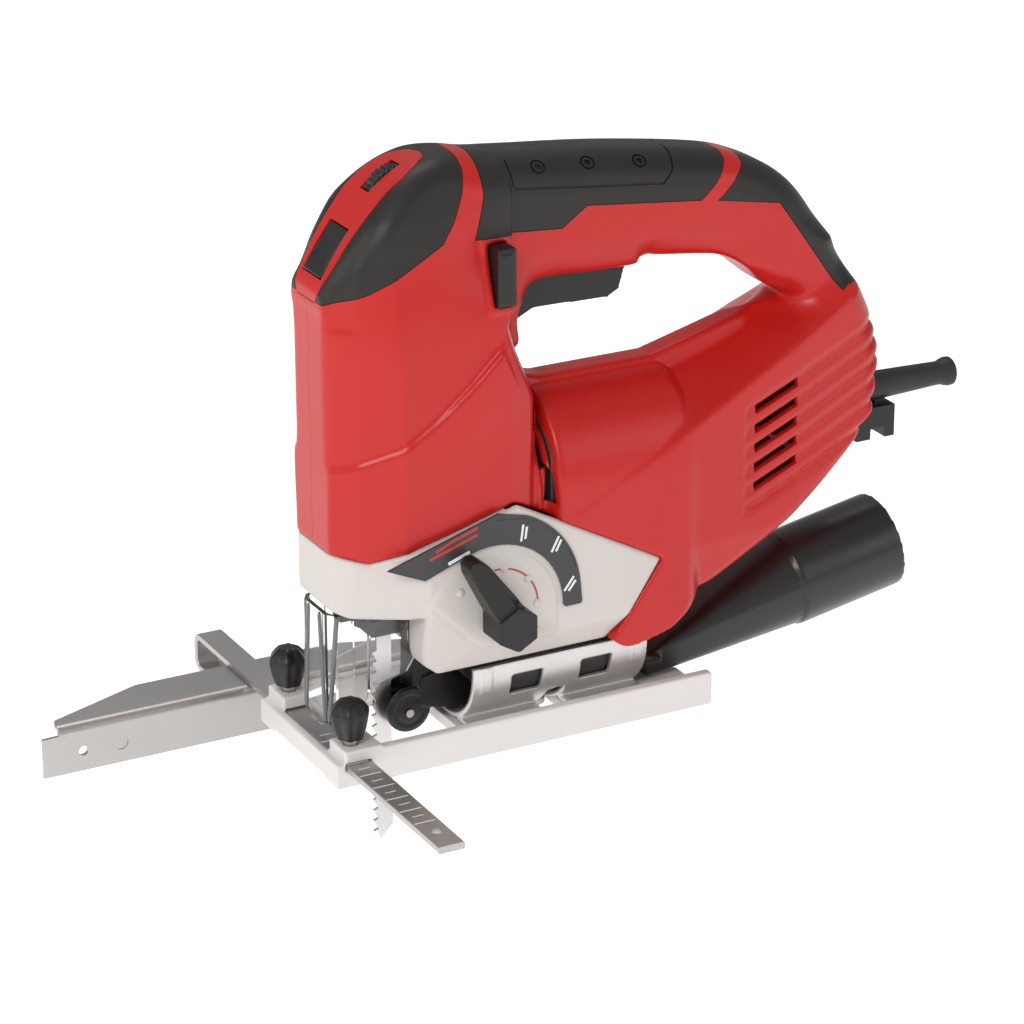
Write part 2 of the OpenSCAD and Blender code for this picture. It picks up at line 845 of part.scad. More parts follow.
// The grooved roller that backs the blade.
module guide_roller() {
    color(BLACK) translate([roller_x, 0, roller_z]) rotate([90, 0, 0]) difference() {
        translate([0, 0, -roller_half]) cylinder(h = 2 * roller_half, r = roller_r);
        translate([0, 0, -roller_half - 1]) cylinder(h = 2 * roller_half + 2, r = 1.55);
        difference() {
            translate([0, 0, -1]) cylinder(h = 2, r = roller_r + 1);
            translate([0, 0, -2]) cylinder(h = 4, r = roller_groove_r);
        }
    }
}

// The pendulum knob: a hub, a finger bar and the shaft into the housing.
module pendulum_knob() {
    color(BLACK) {
        rod_y(-36, -31.6, 12.5, knob_x, knob_z);
        rod_y(-43.5, -36 + eps, 9, knob_x, knob_z);
        rod_y(-31.6 - eps, -7.5, 4, knob_x, knob_z);
        side_cut(-43.5, -36) translate([knob_x, knob_z]) rotate(125)
            polygon([[-10, -4], [-10, 4], [8, 6.5], [22, 5], [26, 1.5], [26, -2.5], [21, -5.5], [8, -6.5]]);
    }
}

// The trigger: a long lever that swings up on the two trunnions at its rear.
module trigger() {
    color(BLACK) {
        side_cut(-6, 6) polygon([[46.5, 165], [46.5, 148], [49.5, 145.5], [56, 148.5], [84, 147.5],
            [88.5, 150], [90.5, 157], [90.5, 165], [84, 167]]);
        rod_y(-6.8, 6.8, 2, trigger_pivot.x, trigger_pivot.y);
    }
}

// The switch over the trigger.
module switch_body() {
    color(BLACK) block([52, -9, 172.5], [94, 9, 190]);
}

// The speed control board in the handle's rear.
module speed_board() {
    color([0.15, 0.35, 0.2]) {
        block([100, -11, 172], [126, 11, 174]);
        block([104, -8, 174], [120, 8, 182]);
    }
}

// The place of the lock button in the left shell, wider by g.
module lock_seat(g) {
    block([31 - g, -30, 157 - g], [39 + g, -12, 180 + g]);
}

// The lock button, on the left side ahead of the trigger.
module lock_button() {
    color(BLACK) {
        block([31, -27.5, 157], [39, -20, 180]);
        block([32.5, -20 - eps, 160], [37.5, -14, 177]);
    }
}

// The speed dial in the nose strip.
module speed_dial() {
    color(BLACK) difference() {
        rod_y(-3.5, 3.5, dial_r, dial_x, dial_z);
        rod_y(-5, 5, 2.05, dial_x, dial_z);
        for (k = [0 : 35]) translate([dial_x, 0, dial_z]) rotate([0, 10 * k, 0]) translate([0, 0, dial_r])
            cube([0.7, 8, 0.9], center = true);
    }
}

// The dial's own pin, held between the shells.
module dial_pin() {
    color(STEEL) rod_y(-8, 8, 2, dial_x, dial_z);
}

// The sloping place of the nose button: its own Z points out of the strip.
module top_button_place() {
    translate([-17.6, 0, 178.8]) rotate([0, -54, 0]) children();
}

// The square button in the nose strip, with a hollowed face.
module top_button() {
    color(BLACK) top_button_place() difference() {
        block([-9, -6.5, -4], [9, 6.5, 0.8]);
        translate([0, 0, 30.3]) rotate([90, 0, 0]) translate([0, 0, -5.5]) cylinder(h = 11, r = 30);
    }
}

// The rubber sleeve where the mains cord leaves the body.
module cord_sleeve() {
    color(BLACK) difference() {
        union() {
            rod_x(sleeve_x0, 229, sleeve_r, 0, sleeve_z);
            rod_x(sleeve_x0, sleeve_x0 + 4.5, sleeve_r + 2, 0, sleeve_z);
            rod_x(225, 229, sleeve_r + 0.8, 0, sleeve_z);
        }
        rod_x(170, 240, cord_r, 0, sleeve_z);
        for (x = [194 : 6 : 218]) difference() {
            rod_x(x, x + 2, sleeve_r + 1, 0, sleeve_z);
            rod_x(x - 1, x + 4, sleeve_r - 0.9, 0, sleeve_z);
        }
    }
}

// The strap that grips the cord inside the body.
module cord_clamp() {
    color(GRIP) difference() {
        block([166, -10, sleeve_z + 2], [174, 10, sleeve_z + 7]);
        rod_x(160, 180, cord_r, 0, sleeve_z);
    }
}

// The clip for the hex key, under the sleeve: an arm with two legs and an upright hole.
module key_clip() {
    color(BLACK) difference() {
        block([clip_x0, -6, clip_z0 - 4], [202, 6, clip_z1]);
        block([clip_x0 - 1, -7, clip_z0 - 5], [186, 7, clip_z0]);
        block([192, -7, clip_z0 - 5], [198, 7, clip_z0]);
        translate([195, 0, clip_z0 - 5]) cylinder(h = 40, r = 2.1);
    }
}

// The base plate: a floor with side rims, a throat for the blade and the guide's two bridges.
module base_plate() {
    color(SILVER) difference() {
        union() {
            block([base_x0, -half_w, 0], [base_x1, half_w, floor_t]);
            both_sides() block([base_x0 + 3, half_w - rim_t, 0], [base_x1, half_w, rim_h]);
            block([base_x0, -half_w, 0], [base_x0 + 3.2, half_w, 8.6]);
            block([base_x0, -half_w, 0], [throat_x0, half_w, bar_top - bar_t - 0.1]);
            block([throat_x0 - 2.5, -half_w, 0], [throat_x0, half_w, 9.4]);
            both_sides() block([base_x0 + 3, bridge_y - 6.5, 0], [throat_x0, bridge_y + 6.5, bridge_top]);
        }
        block([throat_x0, rim_t - half_w, -1], [throat_x1, half_w - rim_t, 20]);
        block([bar_x - bar_w / 2 - bar_play, -50, bar_top - bar_t - 0.1],
            [bar_x + bar_w / 2 + bar_play, 50, bar_top + 0.5]);
        rod_x(cradle_x0 - 1, cradle_x1 + 30, cradle_out + 0.05, 0, tilt_z);
        block([tilt_screw_x - screw_room, -17, -1], [tilt_screw_x + screw_room, 17, 10]);
        block([base_x0 - 1, -20, -1], [base_x0 + 3, 20, 1]);
        both_sides() translate([bar_x, bridge_y, 0]) cylinder(h = 30, r = 2.5);
    }
}

// The half-round cradle on the base plate, with its feet, index ribs and dust windows.
module bevel_cradle() {
    color(SILVER) difference() {
        union() {
            intersection() {
                rod_x(cradle_x0, cradle_x1, cradle_out, 0, tilt_z);
                block([0, -40, 0], [200, 40, tilt_z + eps]);
            }
            block([cradle_x0, -cradle_out, tilt_z], [cradle_x1, cradle_out, cradle_rim]);
            both_sides() {
                block([cradle_x0, 9, floor_t], [tilt_screw_x - screw_room, 25, 6.5]);
                block([tilt_screw_x + screw_room, 9, floor_t], [cradle_x1, 25, 6.5]);
            }
            index_ribs();
        }
        rod_x(cradle_x0 - 1, cradle_x1 + 1, cradle_in, 0, tilt_z);
        block([cradle_x0 - 1, -cradle_in, tilt_z], [cradle_x1 + 1, cradle_in, 60]);
        for (x = [39, 66]) block([x, -40, 15], [x + 12, 40, 23]);
        block([tilt_screw_x - 3.3, -18, 0], [tilt_screw_x + 3.3, 18, 14]);
    }
}

// The three index ribs at each end of the cradle's rims.
module index_ribs() {
    intersection() {
        rod_x(cradle_x0, cradle_x1, cradle_out + 0.45, 0, tilt_z);
        both_sides() for (x = [cradle_x0 + 3, cradle_x1 - 6]) for (i = [0 : 2])
            block([x + 1.6 * i, 15, 18], [x + 1.6 * i + 0.9, 30, cradle_rim]);
    }
}

// A thumb screw of the parallel guide at y = s * bridge_y.
module guide_knob(s) {
    color(BLACK) translate([bar_x, s * bridge_y, 0]) {
        translate([0, 0, bar_top + 0.2]) cylinder(h = 6, r = 2.45);
        translate([0, 0, bridge_top + 0.6]) cylinder(h = 5, r1 = 4.6, r2 = 5.6);
        translate([0, 0, bridge_top + 5.5]) cylinder(h = 6, r = 6.2);
        for (k = [0 : 5]) rotate(60 * k) translate([5.3, 0, bridge_top + 5.5]) cylinder(h = 6, r = 1.2);
        translate([0, 0, bridge_top + 11.5 - eps]) cylinder(h = 4.8, r1 = 6.2, r2 = 2.4);
    }
}

// The thumb screw on the left side.
module guide_knob_left() {
    guide_knob(-1);
}

// The thumb screw on the right side.
module guide_knob_right() {
    guide_knob(1);
}

// The guide bar: flat steel, hooked over at its far end, with a scale of 10 mm marks.
module guide_bar() {
    x0 = bar_x - bar_w / 2;
    x1 = bar_x + bar_w / 2;
    y1 = bar_y0 + bar_len;
    color(ZINC) difference() {
        union() {
            block([x0, bar_y0, bar_top - bar_t], [x1, y1, bar_top]);
            block([x0, y1 - bar_t, bar_top - 14], [x1, y1, bar_top - eps]);
            block([x0, y1 - 22, bar_top - 14], [x1, y1 - eps, bar_top - 14 + bar_t]);
        }
        translate([bar_x, bar_y0 + 11, -1]) cylinder(h = 20, r = 2);
        for (i = [0 : 7]) block([x0 - 1, bar_y0 + 18 + 10 * i, bar_top - 0.25],
            [x1 - 1, bar_y0 + 18.5 + 10 * i, bar_top + 1]);
    }
}

// The fence: an L of sheet steel under the guide bar, with a tapered top flange.
module guide_fence() {
    x0 = bar_x - fence_len / 2;
    x1 = bar_x + fence_len / 2;
    top = bar_top - bar_t;
    color(ZINC) difference() {
        union() {
            block([x0, fence_y, top - fence_h], [x1, fence_y + 1.6, top]);
            translate([0, 0, top - 1.6]) linear_extrude(1.6)
                polygon([[x0 + 6, fence_y], [x1 - 6, fence_y], [x1 - 7, fence_y + 7],
                    [bar_x + 40, fence_y + 21], [bar_x - 40, fence_y + 21], [x0 + 7, fence_y + 7]]);
        }
        block([x0 - 1, fence_y - 1, top - 2.2], [x0 + 6, fence_y + 3, top + 1]);
        block([x1 - 6, fence_y - 1, top - 2.2], [x1 + 1, fence_y + 3, top + 1]);
        for (s = [-1, 1]) rod_y(fence_y - 1, fence_y + 4, 1.75, bar_x + s * (fence_len / 2 - 15), top - 10.3);
    }
}

// The frame of the hose socket: its own Z runs out along the socket.
module nozzle_frame() {
    translate(nozzle_end) rotate([0, 90 - nozzle_tilt, 0]) children();
}

// The dust outlet: a hose socket, a flattened neck and the plug in the cradle's rear.
module dust_nozzle() {
    color(BLACK) difference() {
        union() {
            nozzle_frame() translate([0, 0, -nozzle_bore_len])
                cylinder(h = nozzle_bore_len, r = nozzle_r);
            hull() {
                nozzle_frame() translate([0, 0, 2 - nozzle_bore_len])
                    cylinder(h = 1, r = nozzle_r - 0.6, $fn = 32);
                block([97, -12, 6.2], [98, 12, plug_z1 - 0.3]);
            }
            plug_form(cradle_in - 0.4, plug_x0, 102, plug_z1);
        }
        nozzle_frame() translate([0, 0, -nozzle_bore_len])
            cylinder(h = nozzle_bore_len + 1, r = nozzle_bore_r);
        hull() {
            nozzle_frame() translate([0, 0, 1 - nozzle_bore_len])
                cylinder(h = 1, r = nozzle_bore_r - 0.8, $fn = 32);
            block([97, -9, 8], [98, 9, plug_z1 - 2]);
        }
        block([plug_x0 - 1, -9.5, 7.7], [99, 9.5, plug_z1 - 1.7]);
    }
}

// The part of a round bar along X that lies below z1.
module plug_form(r, x0, x1, z1) {
    intersection() {
        rod_x(x0, x1, r, 0, tilt_z);
        block([x0 - 1, -30, 0], [x1 + 1, 30, z1]);
    }
}

housing_left();
housing_right();
housing_screws();
nose_cheeks();
nose_strip();
handle_grip();
rear_grip();
gear_housing();
gear_housing_screws();
step_plate();
saddle();
saddle_screws();
gear_frame();
gear_axle();
plunger_bushes();
dust_seal();
field_core();
field_coils();
front_bearing();
rear_bearing();
bearing_cup();
brush_guides();
carbon_brushes();
switch_body();
speed_board();
dial_pin();
cord_sleeve();
cord_clamp();
key_clip();
blade_guard();
lever_pin();
armature_shaft();
armature_core();
armature_windings();
commutator();
fan();
drive_gear();
crank_pin();
balance_weight();
plunger_rod();
yoke();
blade_clamp();
clamp_lever();
saw_blade();
pendulum_lever();
roller_axle();
guide_roller();
pendulum_knob();
trigger();
lock_button();
speed_dial();
top_button();
tilt_screw();
base_plate();
bevel_cradle();
guide_knob_left();
guide_knob_right();
guide_bar();
guide_fence();
dust_nozzle();
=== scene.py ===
import math

import bmesh
import bpy
import numpy as np
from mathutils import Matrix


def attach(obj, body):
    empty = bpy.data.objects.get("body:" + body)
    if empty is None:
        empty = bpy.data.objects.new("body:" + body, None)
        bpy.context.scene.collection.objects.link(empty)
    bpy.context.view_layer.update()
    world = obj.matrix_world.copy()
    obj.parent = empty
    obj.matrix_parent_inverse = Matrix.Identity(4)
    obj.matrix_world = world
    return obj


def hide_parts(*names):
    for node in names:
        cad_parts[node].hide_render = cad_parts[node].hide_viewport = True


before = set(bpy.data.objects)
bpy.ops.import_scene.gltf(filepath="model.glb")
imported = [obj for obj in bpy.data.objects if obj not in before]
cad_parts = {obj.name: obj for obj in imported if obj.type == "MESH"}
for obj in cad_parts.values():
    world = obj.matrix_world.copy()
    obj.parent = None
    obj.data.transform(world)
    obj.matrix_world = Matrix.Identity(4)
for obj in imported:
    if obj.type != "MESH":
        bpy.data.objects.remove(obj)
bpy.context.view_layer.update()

import openvdb
from mathutils import Matrix, Vector

# ---------------------------------------------------------------------------
# The bench. A pale floor, four soft lamps and a long lens to the tool's left
# front. Nothing here belongs to the tool itself.
MM = 0.001
LENS_MM = 140.5
EYE = Vector((-0.5428, -1.1214, 0.5917))
SWING, TIP, LEAN = math.radians(-27.88), math.radians(22.223), math.radians(-0.151)
FLOOR_Z = -0.0405
FLOOR_HALF = 6
TOOL_MIDDLE = Vector((0.08, 0, 0.08))


def point_camera(camera):
    right = Vector((math.cos(SWING), math.sin(SWING), 0))
    back = Vector((math.sin(SWING) * math.cos(TIP), -math.cos(SWING) * math.cos(TIP), math.sin(TIP)))
    up = back.cross(right)
    tilted_right = right * math.cos(LEAN) + up * math.sin(LEAN)
    tilted_up = up * math.cos(LEAN) - right * math.sin(LEAN)
    turn = Matrix((tilted_right, tilted_up, back)).transposed()
    camera.matrix_world = Matrix.Translation(EYE) @ turn.to_4x4()


lens = bpy.data.cameras.new("bench_camera")
lens.lens = LENS_MM
lens.sensor_width = 36
lens.clip_end = 20
camera = bpy.data.objects.new("bench_camera", lens)
bpy.context.scene.collection.objects.link(camera)
point_camera(camera)
bpy.context.scene.camera = camera


def soft_lamp(name, place, size, power):
    lamp = bpy.data.lights.new(name, "AREA")
    lamp.shape = "DISK"
    lamp.size = size
    lamp.energy = power
    stand = bpy.data.objects.new(name, lamp)
    bpy.context.scene.collection.objects.link(stand)
    stand.location = place
    stand.rotation_euler = (TOOL_MIDDLE - stand.location).to_track_quat("-Z", "Y").to_euler()
    return stand


lamps = [
    soft_lamp("key_lamp", (-1.0, -1.0, 1.1), 0.6, 14),
    soft_lamp("fill_lamp", (1.1, -1.3, 0.7), 1.0, 4),
    soft_lamp("top_lamp", (0.2, 0.6, 1.7), 0.8, 7),
    soft_lamp("front_lamp", (-1.6, 0.2, 0.7), 0.6, 5),
]


def floor_finish():
    finish = bpy.data.materials.new("floor_finish")
    finish.use_nodes = True
    shader = finish.node_tree.nodes["Principled BSDF"]
    shader.inputs["Base Color"].default_value = (0.93, 0.93, 0.93, 1)
    shader.inputs["Roughness"].default_value = 0.9
    shader.inputs["Emission Color"].default_value = (1, 1, 1, 1)
    shader.inputs["Emission Strength"].default_value = 0.56
    return finish


bench = bpy.data.meshes.new("bench_floor")
corners = [(FLOOR_HALF * i, FLOOR_HALF * j, FLOOR_Z) for i, j in ((-1, -1), (1, -1), (1, 1), (-1, 1))]
bench.from_pydata(corners, [], [(0, 1, 2, 3)])
bench_floor = bpy.data.objects.new("bench_floor", bench)
bpy.context.scene.collection.objects.link(bench_floor)
bench.materials.append(floor_finish())
bpy.context.scene.view_settings.view_transform = "Standard"

room = bpy.data.worlds.new("room")
bpy.context.scene.world = room
room.use_nodes = True
room.node_tree.nodes["Background"].inputs["Color"].default_value = (1, 1, 1, 1)
room.node_tree.nodes["Background"].inputs["Strength"].default_value = 0.38

# ---------------------------------------------------------------------------
# Body shells. Two halves of glass-filled nylon, moulded in red with a fine
# satin grain, 2.3 mm thick, and screwed together from the right.
SKIN_MM = 2.3
GRIP_MM = 1.6
GROOVE_MM = 0.55
STEP_MM = 0.8


def smooth_line(points, steps=6):
    """A smooth closed or open line through the points; a point given twice is a corner."""
    line = []
    n = len(points)
    for i in range(n):
        a, b, c, d = (np.array(points[(i + k - 1) % n], float) for k in range(4))
        if np.allclose(b, c):
            continue
        before = np.zeros(2) if np.allclose(a, b) else (c - a) / 2
        after = np.zeros(2) if np.allclose(c, d) else (d - b) / 2
        straight = np.allclose(a, b) and np.allclose(c, d)
        for t in np.linspace(0, 1, 2 if straight else steps + 1)[:-1]:
            h = (2 * t**3 - 3 * t**2 + 1, t**3 - 2 * t**2 + t, -2 * t**3 + 3 * t**2, t**3 - t**2)
            line.append(h[0] * b + h[1] * before + h[2] * c + h[3] * after)
    return np.array(line)


def outline_distance(line, x, z):
    """Distance from the closed line, less than nothing inside it."""
    best = np.full(x.shape, 1e9)
    inside = np.zeros(x.shape, bool)
    for (ax, az), (bx, bz) in zip(line, np.roll(line, -1, axis=0)):
        ex, ez = bx - ax, bz - az
        t = np.clip(((x - ax) * ex + (z - az) * ez) / max(ex * ex + ez * ez, 1e-9), 0, 1)
        best = np.minimum(best, np.hypot(x - ax - t * ex, z - az - t * ez))
        crosses = (az > z) != (bz > z)
        inside ^= crosses & (x < ax + (z - az) * ex / (ez if ez else 1e-9))
    return np.where(inside, -best, best)


def ease(low, high, v):
    t = np.clip((v - low) / (high - low), 0, 1)
    return t * t * (3 - 2 * t)


def soft_least(a, b, k):
    h = np.clip(0.5 + 0.5 * (b - a) / k, 0, 1)
    return b * (1 - h) + a * h - k * h * (1 - h)


def soft_most(a, b, k):
    return -soft_least(-a, -b, k)


BODY_EDGE = [(-25, 77), (-25, 77), (-14, 74.5), (-14, 74.5), (37, 89), (37, 89), (93.5, 58.5),
             (93.5, 58.5), (74, 32), (74, 32), (81, 28), (97, 31.5), (114, 39), (142, 55), (164, 70),
             (180, 84), (188.5, 99), (190.5, 113), (185, 130), (172.5, 153), (161, 171.5), (151, 182),
             (138, 189.5), (122, 194.5), (84, 200.5), (50, 204), (37, 205.5), (24, 207.5), (11, 206),
             (-1, 199.5), (-13, 186.5), (-24, 170), (-25.5, 163), (-25, 150)]
HAND_EDGE = [(46, 150), (47.5, 138), (51, 127), (58, 123.6), (64, 123.3), (80, 123.3), (100, 123.3),
             (104, 123.8), (132, 131), (148, 135), (152.5, 136), (153.5, 137.5), (151, 139.8),
             (145, 143), (136, 151), (130, 155.3), (124, 157.6), (116, 158.8), (102, 160.3), (98, 161),
             (94.5, 160.4), (92, 158.8), (75, 159), (60, 159.6), (51, 158)]
body_line = smooth_line(BODY_EDGE)
hand_line = smooth_line(HAND_EDGE)
MOTOR_Z, BARREL_R = 88, 29.9
LOCK_X0, LOCK_X1, LOCK_Z0, LOCK_Z1 = 31, 38.6, 158.2, 178.8
WAIST_RIBS = (48.2, 51.6)
LOUVRES, LOUVRE_PITCH, LOUVRE_RISE = 5, 7.15, 0.37
LOUVRE_X, GROOVE_Z = 133.7, 70.0
LOUVRE_ENDS, LOUVRE_SILL, LOUVRE_GAP = (132, 150), 75, 3.3


def louvre_grooves(x, z):
    """Where the rear is ribbed, and how deep the grooves between its ribs are, each from 0 to 1."""
    level = z - LOUVRE_RISE * (x - LOUVRE_X)
    ribbed = ease(66, 70, level) * (1 - ease(108, 110, level))
    groove = (0.5 + 0.5 * np.cos(2 * math.pi * (level - GROOVE_Z) / LOUVRE_PITCH)) ** 2
    return ribbed, groove


def half_width(x, z):
    """How far the shell's side stands out from the middle, at each place in the side view."""
    low_plan = np.interp(x, [-25, -17, -3, 20, 36, 44, 49], [12.5, 19.6, 26.4, 27.7, 27.5, 25.5, 19])
    top_plan = np.interp(x, [-25, -17, -4, 12, 26, 44, 60], [11, 17.5, 22, 22.5, 20.5, 17.5, 16.5])
    lift = ease(145, 180, z)
    plan = low_plan * (1 - lift) + top_plan * lift
    nose = soft_least(plan, np.interp(z, [70, 125, 165, 190, 212], [28.5, 28, 25, 21, 13]), 2)
    crease = np.interp(x, [-22, -4, 8, 22, 35, 46], [107.5, 114.5, 122.5, 134, 146, 158])
    below = ease(-1.2, 0.6, crease - z)
    nose = nose + below * (1.2 + 1.3 * ease(-10, 38, x)) * (1 - 0.8 * ease(0, 34, crease - z))
    nose = nose - 0.55 * ease(155, 156.5, z) * (1 - ease(-19, -15, x))
    rear_edge = np.interp(z, [116, 124, 132, 142, 150, 154, 156.5, 190],
                          [49.5, 47, 44, 40, 37.5, 38.3, 41, 41])
    behind = x - rear_edge
    nose = soft_least(nose, np.interp(behind, [-14, -6, -2.5, 0, 1.2], [40, 27.6, 26, 22.5, 6]), 1)
    from_pocket = np.maximum(np.maximum(LOCK_X0 - x, x - LOCK_X1), np.maximum(LOCK_Z0 - z, z - LOCK_Z1))
    nose = nose + 1 - ease(0.5, 1.5, np.abs(from_pocket - 1.1))
    barrel_r = np.maximum(BARREL_R - np.maximum(0, x - 102) ** 2 / 12, 0.5)
    waist_r = 24.2 * ease(38, 44, x) * (1 - ease(56, 58, x))
    barrel_r = np.maximum(barrel_r - 0.8 * np.maximum(0, 54.5 - x) ** 2, waist_r)
    above = np.minimum(np.maximum(z - MOTOR_Z, 0) / 1.13, barrel_r)
    barrel = np.sqrt(barrel_r ** 2 - above ** 2)
    panel_edge = 91 + 0.49 * (x - 80)
    panel = np.interp(x, [30, 52, 100, 150, 192], [20, 29.6, 29.2, 24.4, 17.5])
    panel = panel - np.interp(x, [100, 132, 150, 175], [1.5, 2.1, 1.9, 0.8]) * np.maximum(z - panel_edge, 0)
    panel = panel - 0.25 * np.maximum(60 - z, 0) * ease(74, 90, x) - 0.6 * np.maximum(43 - z, 0)
    handle = np.interp(z, [100, 125, 150, 190], [12, 13.5, 15, 16.5]) - 3 * (1 - ease(25, 45, x))
    handle = handle - 30 * (1 - ease(120, 142, z)) * (1 - ease(134, 164, x))
    side = soft_most(soft_most(barrel, panel, 2.0), handle, 6)
    for middle in WAIST_RIBS:
        rib = np.abs(x - middle + 4.2 * ((z - 84) / 36) ** 2)
        side = side + 1.1 * (1 - ease(0.3, 1.1, rib)) * ease(78, 84, z) * (1 - ease(114, 121, z))
    ribbed, groove = louvre_grooves(x, z)
    return soft_most(nose, side, 1.2) - ribbed * ease(126, 130, x) * (0.5 + 1.1 * groove)


def edge_round(x, z):
    """Radius of the shell's edges at each place in the side view."""
    handle = 12.5 * ease(148, 168, z) * ease(14, 34, x)
    handle = handle + 6.5 * ease(158, 182, z) * (1 - ease(14, 34, x))
    post = 9 * ease(128, 150, x) * ease(85, 108, z) * (1 - ease(150, 168, z))
    under = 5 * ease(95, 106, x) * (1 - ease(80, 100, z))
    rim = 2.2 * ease(100, 115, z) * (1 - ease(148, 165, z))
    return 0.5 + np.maximum(np.maximum(handle, post), np.maximum(under, rim))


def rounded_meet(a, b, r):
    """Where two faces meet in an edge of radius r."""
    return np.minimum(np.maximum(a + r, b + r), 0) + np.hypot(np.maximum(a + r, 0), np.maximum(b + r, 0)) - r


def voxel_grid(low, high, step):
    axes = [np.arange(a, b + step, step) for a, b in zip(low, high)]
    return np.meshgrid(*axes, indexing="ij", sparse=True)


def moulded(name, field, low, step, level=0.0):
    """The surface where the field has that level, as a closed mesh in metres."""
    grid = openvdb.FloatGrid(float(field.max()))
    grid.copyFromArray(field.astype(np.float32))
    points, quads = grid.convertToQuads(isovalue=level)
    points = (np.asarray(points, float) * step + np.array(low)) * MM
    mesh = bpy.data.meshes.new(name)
    mesh.vertices.add(len(points))
    mesh.vertices.foreach_set("co", points.astype(np.float32).ravel())
    quads = np.asarray(quads, np.int32)
    mesh.loops.add(quads.size)
    mesh.loops.foreach_set("vertex_index", quads.ravel())
    mesh.polygons.add(len(quads))
    mesh.polygons.foreach_set("loop_start", np.arange(0, quads.size, 4, dtype=np.int32))
    mesh.update(calc_edges=True)
    mesh.validate()
    piece = bpy.data.objects.new(name, mesh)
    bpy.context.scene.collection.objects.link(piece)
    form = bmesh.new()
    form.from_mesh(mesh)
    bmesh.ops.recalc_face_normals(form, faces=form.faces)
    if form.calc_volume(signed=True) < 0:
        bmesh.ops.reverse_faces(form, faces=form.faces)
    for _ in range(2):
        bmesh.ops.smooth_vert(form, verts=form.verts, factor=0.5,
                              use_axis_x=True, use_axis_y=True, use_axis_z=True)
    form.to_mesh(mesh)
    form.free()
    return piece


def side_prism(name, line, y0, y1):
    """A tool for cutting: a line in the side view, from y0 to y1, in millimetres."""
    n = len(line)
    points = [(x * MM, y * MM, z * MM) for y in (y0, y1) for x, z in line]
    faces = [tuple(range(n)), tuple(range(2 * n - 1, n - 1, -1))]
    faces += [(i, i + n, (i + 1) % n + n, (i + 1) % n) for i in range(n)]
    mesh = bpy.data.meshes.new(name)
    mesh.from_pydata(points, [], faces)
    form = bmesh.new()
    form.from_mesh(mesh)
    bmesh.ops.recalc_face_normals(form, faces=form.faces)
    if form.calc_volume(signed=True) < 0:
        bmesh.ops.reverse_faces(form, faces=form.faces)
    bmesh.ops.triangulate(form, faces=form.faces)
    form.to_mesh(mesh)
    form.free()
    tool = bpy.data.objects.new(name, mesh)
    bpy.context.scene.collection.objects.link(tool)
    return tool


def settle(piece):
    """Makes the piece's own mesh what its modifiers make of it."""
    bpy.context.view_layer.update()
    ready = piece.evaluated_get(bpy.context.evaluated_depsgraph_get())
    shaped = bpy.data.meshes.new_from_object(ready)
    piece.modifiers.clear()
    piece.data = shaped


def carve(piece, tool, way="DIFFERENCE", keep=False):
    """Cuts the piece with the tool, joins them, or keeps what they share."""
    step = piece.modifiers.new("carve", "BOOLEAN")
    step.operation = way
    step.object = tool
    step.solver = "MANIFOLD"
    settle(piece)
    if not keep:
        bpy.data.objects.remove(tool)
    return piece


def twin(piece, name):
    copy = bpy.data.objects.new(name, piece.data.copy())
    bpy.context.scene.collection.objects.link(copy)
    return copy


def shade(piece, sharp=35):
    piece.data.polygons.foreach_set("use_smooth", np.ones(len(piece.data.polygons), bool))
    piece.data.set_sharp_from_angle(angle=math.radians(sharp))


low, high = (-34, -36, 22), (198, 36, 214)
x, y, z = voxel_grid(low, high, STEP_MM)
side_x, side_z = np.broadcast_arrays(x[:, 0, :], z[0, 0, :][None, :])
edge = outline_distance(body_line, side_x, side_z)
ribbed, groove = louvre_grooves(side_x, side_z)
edge = edge + 1.3 * ribbed * groove * ease(170, 178, side_x)
edge = np.maximum(edge, -outline_distance(hand_line, side_x, side_z))
width, radius = half_width(side_x, side_z), edge_round(side_x, side_z)
body_field = rounded_meet(edge[:, None, :], np.abs(y) - width[:, None, :], radius[:, None, :])
outer = moulded("outer_form", body_field, low, STEP_MM)
core = moulded("core_form", body_field, low, STEP_MM, -SKIN_MM)
under_grip = moulded("under_grip", body_field, low, STEP_MM, -GRIP_MM)
under_groove = moulded("under_groove", body_field, low, STEP_MM, -GROOVE_MM)


def zone_tool(name, line, core_form, y0=-45, y1=45):
    """The part of a side-view zone that lies outside the core form."""
    return carve(side_prism(name, line, y0, y1), core_form, keep=True)


def band(line, w):
    """A closed strip w wide along an open line."""
    line = np.array(line, float)
    along = np.gradient(line, axis=0)
    along /= np.linalg.norm(along, axis=1)[:, None]
    off = np.stack([-along[:, 1], along[:, 0]], 1) * w / 2
    return np.concatenate([line + off, (line - off)[::-1]])


def grown(line, gap):
    """The closed line moved outwards by gap."""
    line = np.array(line, float)
    ahead, behind = np.roll(line, -1, axis=0) - line, line - np.roll(line, 1, axis=0)
    ahead /= np.linalg.norm(ahead, axis=1)[:, None]
    behind /= np.linalg.norm(behind, axis=1)[:, None]
    area = np.sum(line[:, 0] * np.roll(line[:, 1], -1) - np.roll(line[:, 0], -1) * line[:, 1])
    side = ahead + behind
    side /= np.maximum(np.linalg.norm(side, axis=1), 1e-6)[:, None]
    out = np.stack([side[:, 1], -side[:, 0]], 1) * np.sign(area)
    return line + out * gap


